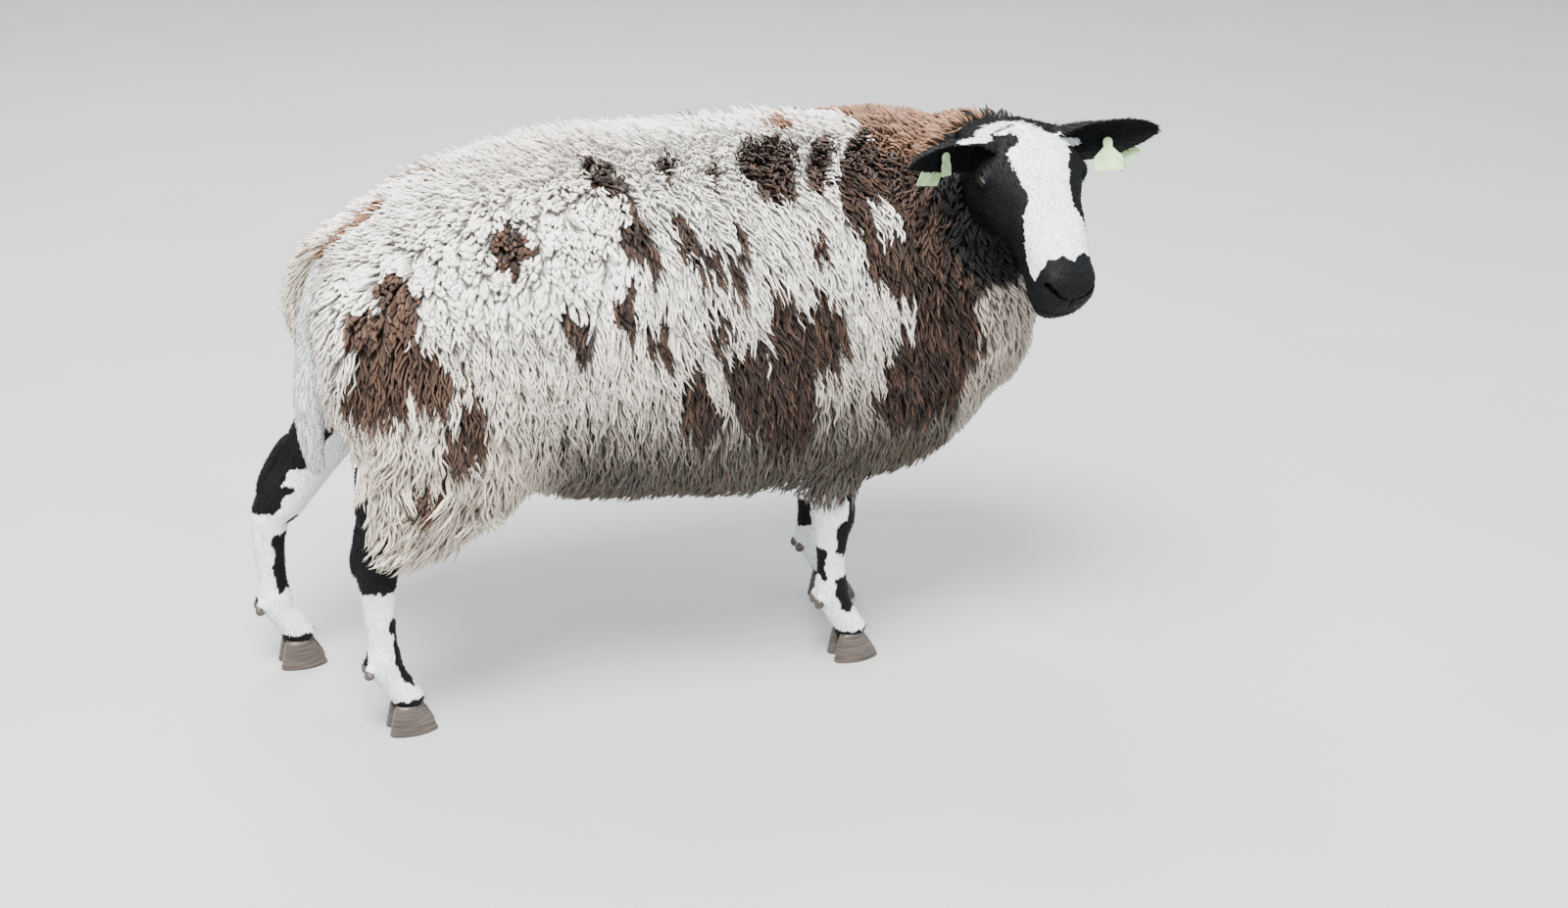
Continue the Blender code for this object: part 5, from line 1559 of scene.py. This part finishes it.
def grow_wool():
    """The fleece in pieces of solid strands."""
    places, outs, lies, lay = wool_places()
    rng = np.random.default_rng(SEED + 1)
    count = len(places)
    crest = smooth_step(-np.abs(girth(places)), -0.85, -0.35) * smooth_step(-places[:, 0], -0.26, -0.16)
    wisp = rng.random(count) < 0.20 * crest
    near = 1 - smooth_step(near_head(places), 0.125, 0.19)
    neck = smooth_step(places[:, 0], 0.24, 0.32) * smooth_step(places[:, 2], 0.50, 0.56)
    ends = end_on(places, outs)
    loose = shaggy(places)
    # Strands close into pointed locks, and locks into staples with partings between them
    lock_across = (0.0065 + 0.0025 * lay) * (1 + 0.9 * loose)
    lock, _ = parted(places, lies, outs, 0.007 + 0.023 * lay, lock_across, SEED + 2)
    staple, margin = parted(places, lies, outs, 0.034 + 0.046 * lay, 0.022 + 0.001 * lay, SEED + 3)
    staple = staple[lock]
    gap_share = (1 - smooth_step(margin, 0.0005, 0.0019)) * (0.45 + 0.55 * ends)
    draw = np.random.default_rng(SEED + 4).normal(0, 1, (count, 6))
    of_lock, of_staple = draw[lock, :3], draw[staple, 3:]
    side = np.cross(outs, lies)
    to_lock, to_staple = places[lock] - places, places[staple] - places
    lock_side, lock_down = (np.sum(to_lock * way, axis=1)[:, None] for way in (side, lies))
    staple_side, staple_down = (np.sum(to_staple * way, axis=1)[:, None] for way in (side, lies))
    # Length along the lie, less at the head, and height over the skin, less beside the tail
    length = 0.020 + 0.040 * lay - 0.014 * neck
    length *= 1 + 0.08 * rng.normal(0, 1, count) + 0.08 * of_lock[:, 0] + 0.06 * of_staple[:, 0]
    length *= (1 - 0.45 * near) * (1 + 0.16 * loose)
    top = 1 + 0.04 * rng.normal(0, 1, count) + 0.05 * of_lock[:, 1] + 0.07 * of_staple[:, 1]
    top = wool_heights(places, outs) * top
    top *= 1 + 0.10 * lattice_noise(places, 0.05, 19.0) - 0.10 * ends
    top *= (1 - 0.55 * gap_share) * (1 + 0.22 * loose * of_lock[:, 1].clip(-1.5, 0.8))
    behind = smooth_step(-outs[:, 0], 0.1, 0.5) * smooth_step(-places[:, 2], -0.625, -0.585)
    aside = places[:, 1] - tail_beside(places)[1]
    right = aside < 0
    beside = behind * (1 - smooth_step(np.abs(aside), 0.028 + 0.017 * right, 0.070 + 0.035 * right))
    top *= 1 - 0.78 * beside
    top[wisp] += 0.004 + 0.006 * rng.random(wisp.sum())
    # The line of each strand: out from the skin, down the lie and sideways into its lock and staple
    s = WOOL_STEPS[None] + (END_STEPS - WOOL_STEPS)[None] * ends[:, None]
    flat = lay[:, None]
    hang = 1 - flat
    erect = 1 - (1 - np.minimum(s / 0.95, 1)) ** 1.3
    rise = top[:, None] * (flat * (0.30 * s + 0.70 * np.sqrt(s)) + hang * erect) - 0.003 * (1 - s)
    run = length[:, None] * (flat * s**1.1 + hang * 0.42 * s**2.2)
    sideways = lock_side * (0.50 + 0.30 * loose - 0.16 * ends)[:, None] * s**1.3
    sideways = sideways + (staple_side - lock_side * 0.50) * (0.20 + 0.06 * hang) * s**1.5
    run = run + lock_down * 0.40 * s**1.5 * hang + (staple_down - lock_down) * 0.16 * s**1.5 * hang
    phase = rng.random((count, 2)) * 1.1 + of_lock[:, :2] * 2.2
    waves = 2 * math.pi * s * (length / 0.030)[:, None]
    swing = ((0.0012 + 0.0008 * rng.random(count)) * (1 - 0.4 * ends))[:, None] * np.minimum(s * 4, 1)
    sideways = sideways + swing * 1.5 * np.sin(waves + phase[:, :1])
    rise = rise + swing * 0.6 * np.sin(waves * 1.1 + phase[:, 1:]) + 0.0005 * rng.normal(0, 1, (count, 1)) * s
    curl = (of_lock[:, 2:] * 0.0028 + rng.normal(0, 1, (count, 1)) * 0.0020) * s**3
    paths = places[:, None] + outs[:, None] * rise[..., None] + lies[:, None] * run[..., None]
    paths = paths + side[:, None] * (sideways + curl)[..., None]
    shape = np.where(wisp[:, None], KEEN, KEEN[None] + (BLUNT - KEEN)[None] * ends[:, None])
    half = (STRAND_HALF + 0.0002 * ends) * (1 + 0.16 * rng.normal(0, 1, count)).clip(0.6, 1.5)
    half = half * WOOL_SPREAD**0.9
    half = np.where(wisp, half * 0.72, half)
    widths = half[:, None] * shape
    heights = (half * (0.62 + 0.16 * rng.random(count) + 0.20 * ends))[:, None] * shape
    # Colours, with painted shade at the root, in the partings and beside the tail; some dark strands have
    # paler tips
    colour = wool_colour(paths[:, 4] * 0.5 + paths[lock, 4] * 0.5)
    grey = colour.mean(axis=1)
    # Strands darker towards the root: painted shade under the wool
    root_shade = (0.68 + 0.32 * smooth_step(s, 0.05, 0.60)) * flat
    root_shade = root_shade + (0.66 + 0.34 * smooth_step(s, 0.30, 0.86)) * hang
    glow = 1 + 0.05 * rng.normal(0, 1, count) + 0.04 * of_lock[:, 0] + 0.03 * of_staple[:, 0]
    # Painted shade in the partings between staples, and a painted shadow beside the tail
    glow = np.clip(glow, 0.75, 1.25) * ((1 - 0.58 * gap_share) * (1 - 0.55 * beside))
    plain = colour[:, None] * root_shade[..., None] * glow[:, None, None]
    tipped = (grey < 0.16) & (rng.random(count) < 0.22)
    tips = (smooth_step(s, 0.55, 1.0) * 0.85)[..., None] * tipped[:, None, None]
    colours = plain * (1 - tips) + np.array(BROWN_TIP) * glow[:, None, None] * tips
    colours[grey < 0.012] = plain[grey < 0.012]
    chart = wool_chart(places, outs)
    # The tail hangs in a parting of the wool, where the strands are short
    short = over_tail(paths, TAIL_GAP)
    root = paths[short, :1]
    paths[short] = root + (paths[short] - root) * TAIL_SHARE
    free = ~over_tail(paths, -0.001)
    left, stands = places[:, 1] > 0, ends > 0.5
    rear, front = places[:, 0] < REAR_END, places[:, 0] >= FLANK_END
    pieces = []
    for region, inside, sides in (
        ("hip", stands, 4),
        ("rear", ~stands & rear, 3),
        ("flank", ~stands & ~rear & ~front, 3),
        ("front", ~stands & front, 3),
    ):
        for half_name, chosen in (("right", ~left), ("left", left)):
            index = np.flatnonzero(inside & chosen & free)
            index = index[np.argsort(places[index, 2])]
            rows = [values[index] for values in (paths, side, widths, heights, colours)]
            name = "fleece_%s_%s" % (region, half_name)
            pieces.append(strand_mesh(name, *rows, fitted(chart[index]), SEED, sides))
    return pieces


fleece = grow_wool()

# Short hair of the face, ears, legs and tail


HAIR_SPREAD = 1.0
HAIR_RINGS, HAIR_SIDES = 3, 3
# Spacing, length and half width of the tufts, and the height where those of the tail end
FACE_SPACING, FACE_WIDTH = 0.0027, 0.00065
LEG_SPACING, LEG_LENGTH, LEG_WIDTH = 0.0030, 0.0058, 0.00060
TAIL_SPACING, TAIL_LENGTH, TAIL_WIDTH, TAIL_TOP = 0.0031, 0.0095, 0.0010, 0.600
# The way the tufts of the legs and the tail lie
DOWN, DOWN_TAIL = np.array([0.0, 0.0, -1.0]), np.array([-0.12, 0.0, -1.0])


def short_hair(name, source, lie_of, colour_of, chart_of, spacing, length_of, width, seed, top=9.0):
    """Short flat tufts over a part of the skin, below a height."""
    rng = np.random.default_rng(SEED + seed)
    gap = spacing * HAIR_SPREAD
    places, outs = scattered(source, SEED + seed, gap=gap)
    keep = clear_of([body_tree], places, -0.004) & (places[:, 2] < top)
    places, outs = places[keep], outs[keep]
    lies = along_surface(lie_of(places), outs)
    kept = spaced(places, lies, outs, np.full(len(places), gap * 1.25), np.full(len(places), gap * 0.85))
    places, outs, lies = places[kept], outs[kept], lies[kept]
    count = len(places)
    turn = 0.22 * rng.normal(0, 1, count) + 0.25 * lattice_noise(places, 0.012, 21.0)
    lies = turned(lies, outs, turn)
    side = np.cross(outs, lies)
    s = np.linspace(0, 1, HAIR_RINGS + 1)[None]
    reach = length_of(places) * (1 + 0.18 * rng.normal(0, 1, count))
    stand = 0.16 + 0.08 * rng.random(count)
    rise = reach[:, None] * stand[:, None] * np.sin(s * math.pi * 0.62) - 0.0005 * (1 - s)
    bend = rng.normal(0, 1, (count, 1)) * 0.10 * reach[:, None] * s**2
    run = reach[:, None] * s
    paths = places[:, None] + outs[:, None] * rise[..., None] + lies[:, None] * run[..., None]
    paths = paths + side[:, None] * bend[..., None]
    half = width * (1 + 0.18 * rng.normal(0, 1, count)).clip(0.5, 1.6)
    widths = half[:, None] * np.interp(s[:, :-1], [0, 0.4, 0.8, 1], [0.8, 1.0, 0.7, 0.3])
    jitter = (side * rng.normal(0, 1, (count, 1)) + lies * rng.normal(0, 1, (count, 1))) * 0.0007
    colour = colour_of(places + lies * (reach * 0.5)[:, None] + jitter)
    glow = np.clip(1 + 0.13 * rng.normal(0, 1, count) - 0.30 * (rng.random(count) < 0.10), 0.5, 1.3)
    # Tufts darker towards the root: painted shade
    colours = colour[:, None] * (0.72 + 0.28 * s)[..., None] * glow[:, None, None]
    index = np.argsort(places[:, 2])
    chart = fitted(chart_of(places))
    rows = [values[index] for values in (paths, side, widths, widths * 0.55, colours, chart)]
    return strand_mesh(name, *rows, SEED + seed, HAIR_SIDES)


def head_lie(places):
    """Down the face to the muzzle on the nose, back and down over the cheeks, and out along the ears."""
    local = to_head(places)
    bridge = smooth_step(local[:, 2], -0.035, -0.010)[:, None]
    cheek = -np.array(ALONG) * 0.55 - np.array(UP) * 0.80
    way = np.array(ALONG) * bridge + cheek * (1 - bridge)
    chin = smooth_step(local[:, 0], 0.18, 0.23)[:, None]
    way = way * (1 - chin) - np.array(ALONG) * chin * 0.6 - np.array(UP) * chin * 0.5
    crown = smooth_step(-local[:, 0], -0.03, 0.0)[:, None]
    way = way * (1 - crown) + np.array(LEFT) * np.sign(local[:, 1:2]) * crown
    ear_out = smooth_step(np.abs(local[:, 1]), 0.062, 0.075)[:, None] * (local[:, :1] < 0.055)
    return way * (1 - ear_out) + np.array(LEFT) * np.sign(local[:, 1:2]) * ear_out


def head_chart(places):
    local = to_head(places)
    angle = np.arctan2(local[:, 1], local[:, 2] + 0.05)
    reach = np.maximum(np.abs(local[:, 1]) - 0.07, 0) * np.sign(local[:, 1])
    nose = 0.15 * (local[:, 0] > 0.225) * (0.04 - np.abs(local[:, 2] + 0.05))
    return np.stack([local[:, 0] + nose, angle + reach * 12], axis=1)


def round_chart(points, x, y):
    """The skin of a limb unrolled round an upright line."""
    return np.stack([np.arctan2(points[:, 1] - y, points[:, 0] - x), points[:, 2] * 20], axis=1)


def face_length(places):
    along = to_head(places)[:, 0]
    return 0.0062 - 0.0026 * smooth_step(along, 0.10, 0.20) + 0.0040 * smooth_step(-along, -0.03, 0.01)


hair = [short_hair(
    "face_hair", head_skin, head_lie, head_colour, head_chart, FACE_SPACING, face_length, FACE_WIDTH, 31,
)]
for leg_name, leg_skin in leg_skins.items():
    hair.append(short_hair(
        "hair_" + leg_name, leg_skin, lambda p: DOWN, lambda p: leg_colour(p, leg_name),
        lambda p: round_chart(p, *FEET[leg_name][0]), LEG_SPACING, lambda p: LEG_LENGTH, LEG_WIDTH, 37,
    ))
hair.append(short_hair(
    "tail_wool", tail_skin, lambda p: DOWN_TAIL, tail_colour,
    lambda p: round_chart(p, -0.42, 0.0), TAIL_SPACING, lambda p: TAIL_LENGTH, TAIL_WIDTH, 41, TAIL_TOP,
))

# Eyes, hooves and tags

WOOL, HAIR, SKIN = wool_material(), hair_material(), skin_material()
HORN, EYE_LOOK, TAG = horn_material(), eye_material(), tag_material()

FLESH = ["torso", "neck", "head", "tail", "thigh_left", "thigh_right", "ear_left", "ear_right"]
FLESH += ["shank_" + n for n in FEET]
finish_piece(skin, SKIN, FLESH)
for piece in fleece:
    finish_piece(piece, WOOL)
for piece in hair:
    look = WOOL if piece.name.startswith("tail") else HAIR
    finish_piece(piece, look)

for eye_name, side in (("left", 1), ("right", -1)):
    centre, out, slit, across = eye_place(side)
    eye = ball("eyeball_" + eye_name, centre, (EYE_RADIUS,) * 3, frame_matrix(slit, across, out), 64, 48)
    level = Matrix.Rotation(math.radians(PUPIL_TURN) * side, 4, out) @ slit
    level = (level - out * level.dot(out)).normalized()
    rel = (mesh_arrays(eye)[0] - np.array(centre)) / EYE_RADIUS
    set_vectors(eye, np.stack([rel @ np.array(way) for way in (level, out.cross(level), out)], axis=1))
    finish_piece(eye, EYE_LOOK, ["eye_" + eye_name])


def hoof(name, x0, y0, away):
    """One claw with a rounded toe, its wall drawn in at the coronet."""
    heights = np.concatenate([[0.0, 0.0015], np.linspace(0.004, 0.040, 16)])
    back, front, half = (spline(CLAW[:, 0], CLAW[:, k], heights) for k in (1, 2, 3))
    angle = round_angles(CLAW_SIDES)
    reach = np.cos(angle)
    toe = np.maximum(reach, 0)
    rings = []
    for k, z in enumerate(heights):
        middle = (front[k] + back[k]) / 2
        x = middle + (front[k] - back[k]) / 2 * reach
        width = half[k] * (1 - 0.42 * toe**2) * power(np.sin(angle), 0.75)
        y = y0 + away * CLAW_SPREAD + width - away * 0.003 * toe
        wall = 1 + 0.010 * math.sin(z * 1900)
        rings.append(np.stack([x0 + middle + (x - middle) * wall, y, np.full(CLAW_SIDES, z)], axis=1))
    return loft(name, rings)


SPUR_LEAN = frame_matrix(Vector((0.55, 0, 0.83)), Vector((0, 1, 0)), Vector((-0.83, 0, 0.55)))
for leg_name, ((x0, y0), _) in FEET.items():
    for part, side in (("outer", 1), ("inner", -1)):
        away = side if y0 > 0 else -side
        claw = hoof("hoof_%s_%s" % (leg_name, part), x0, y0, away)
        finish_piece(claw, HORN, ["claw_%s_%s" % (leg_name, part)])
        place = Vector((x0 - 0.0185, y0 + away * 0.0105, 0.090))
        spur = ball("spur_%s_%s" % (leg_name, part), place, (0.0105, 0.0060, 0.0075), SPUR_LEAN, 24, 18)
        finish_piece(spur, HORN, ["dewclaw_%s_%s" % (leg_name, part)])

for node_name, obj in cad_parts.items():
    if node_name.startswith("tag_"):
        for material_slot in obj.material_slots:
            material_slot.material = TAG

remove([outline, body_skin, head_skin, tail_skin, *leg_skins.values()])

# Floor, light and camera

CAMERA_TURN, CAMERA_RISE, CAMERA_FAR = -0.3141593, 0.3896090, 3.3398876
CAMERA_TARGET = Vector((0.168472, 0.0, 0.265843)) + OFFSET
CAMERA_ANGLE = 0.6095613
FLOOR_HALF = 14


def add_camera():
    back = Vector((
        math.sin(CAMERA_TURN) * math.cos(CAMERA_RISE),
        -math.cos(CAMERA_TURN) * math.cos(CAMERA_RISE),
        math.sin(CAMERA_RISE),
    ))
    data = bpy.data.cameras.new("camera")
    data.sensor_fit = "HORIZONTAL"
    data.angle = CAMERA_ANGLE
    data.clip_end = 60
    camera = linked("camera", data)
    camera.location = CAMERA_TARGET + back * CAMERA_FAR
    camera.rotation_euler = back.to_track_quat("Z", "Y").to_euler()
    bpy.context.scene.camera = camera


def add_area(name, place, size, power_watts, colour):
    """A round lamp that shines at the middle of the sheep."""
    data = bpy.data.lights.new(name, "AREA")
    data.shape, data.size, data.energy, data.color = "DISK", size, power_watts, colour
    lamp = linked(name, data)
    lamp.location = place
    lamp.rotation_euler = (Vector(place) - Vector((0, 0, 0.4))).to_track_quat("Z", "Y").to_euler()


def add_stage():
    corners = [(x * FLOOR_HALF, y * FLOOR_HALF, 0) for x, y in ((-1, -1), (1, -1), (1, 1), (-1, 1))]
    floor = new_object("floor", corners, [(0, 1, 2, 3)])
    mat, tree, shader = material("floor", Roughness=0.85)
    grain = noise(tree, node(tree, "ShaderNodeTexCoord").outputs["Object"], 3.0, 4.0)
    colour = two_colours(tree, grain, (0.0, (0.36, 0.36, 0.355)), (1.0, (0.41, 0.41, 0.405)))
    tree.links.new(colour, shader.inputs["Base Color"])
    floor.data.materials.append(mat)
    world = bpy.data.worlds.new("world")
    world.use_nodes = True
    sky = world.node_tree.nodes["Background"].inputs
    sky["Color"].default_value, sky["Strength"].default_value = (0.84, 0.90, 1.0, 1), 1.25
    bpy.context.scene.world = world
    add_area("key", (-1.2, -2.0, 4.6), 2.6, 1120, (1.0, 0.985, 0.96))
    add_area("fill", (3.2, -1.6, 2.4), 3.0, 70, (0.95, 0.97, 1.0))
    add_area("rear", (0.0, 2.6, 3.8), 2.6, 260, (0.97, 0.98, 1.0))


add_camera()
add_stage()
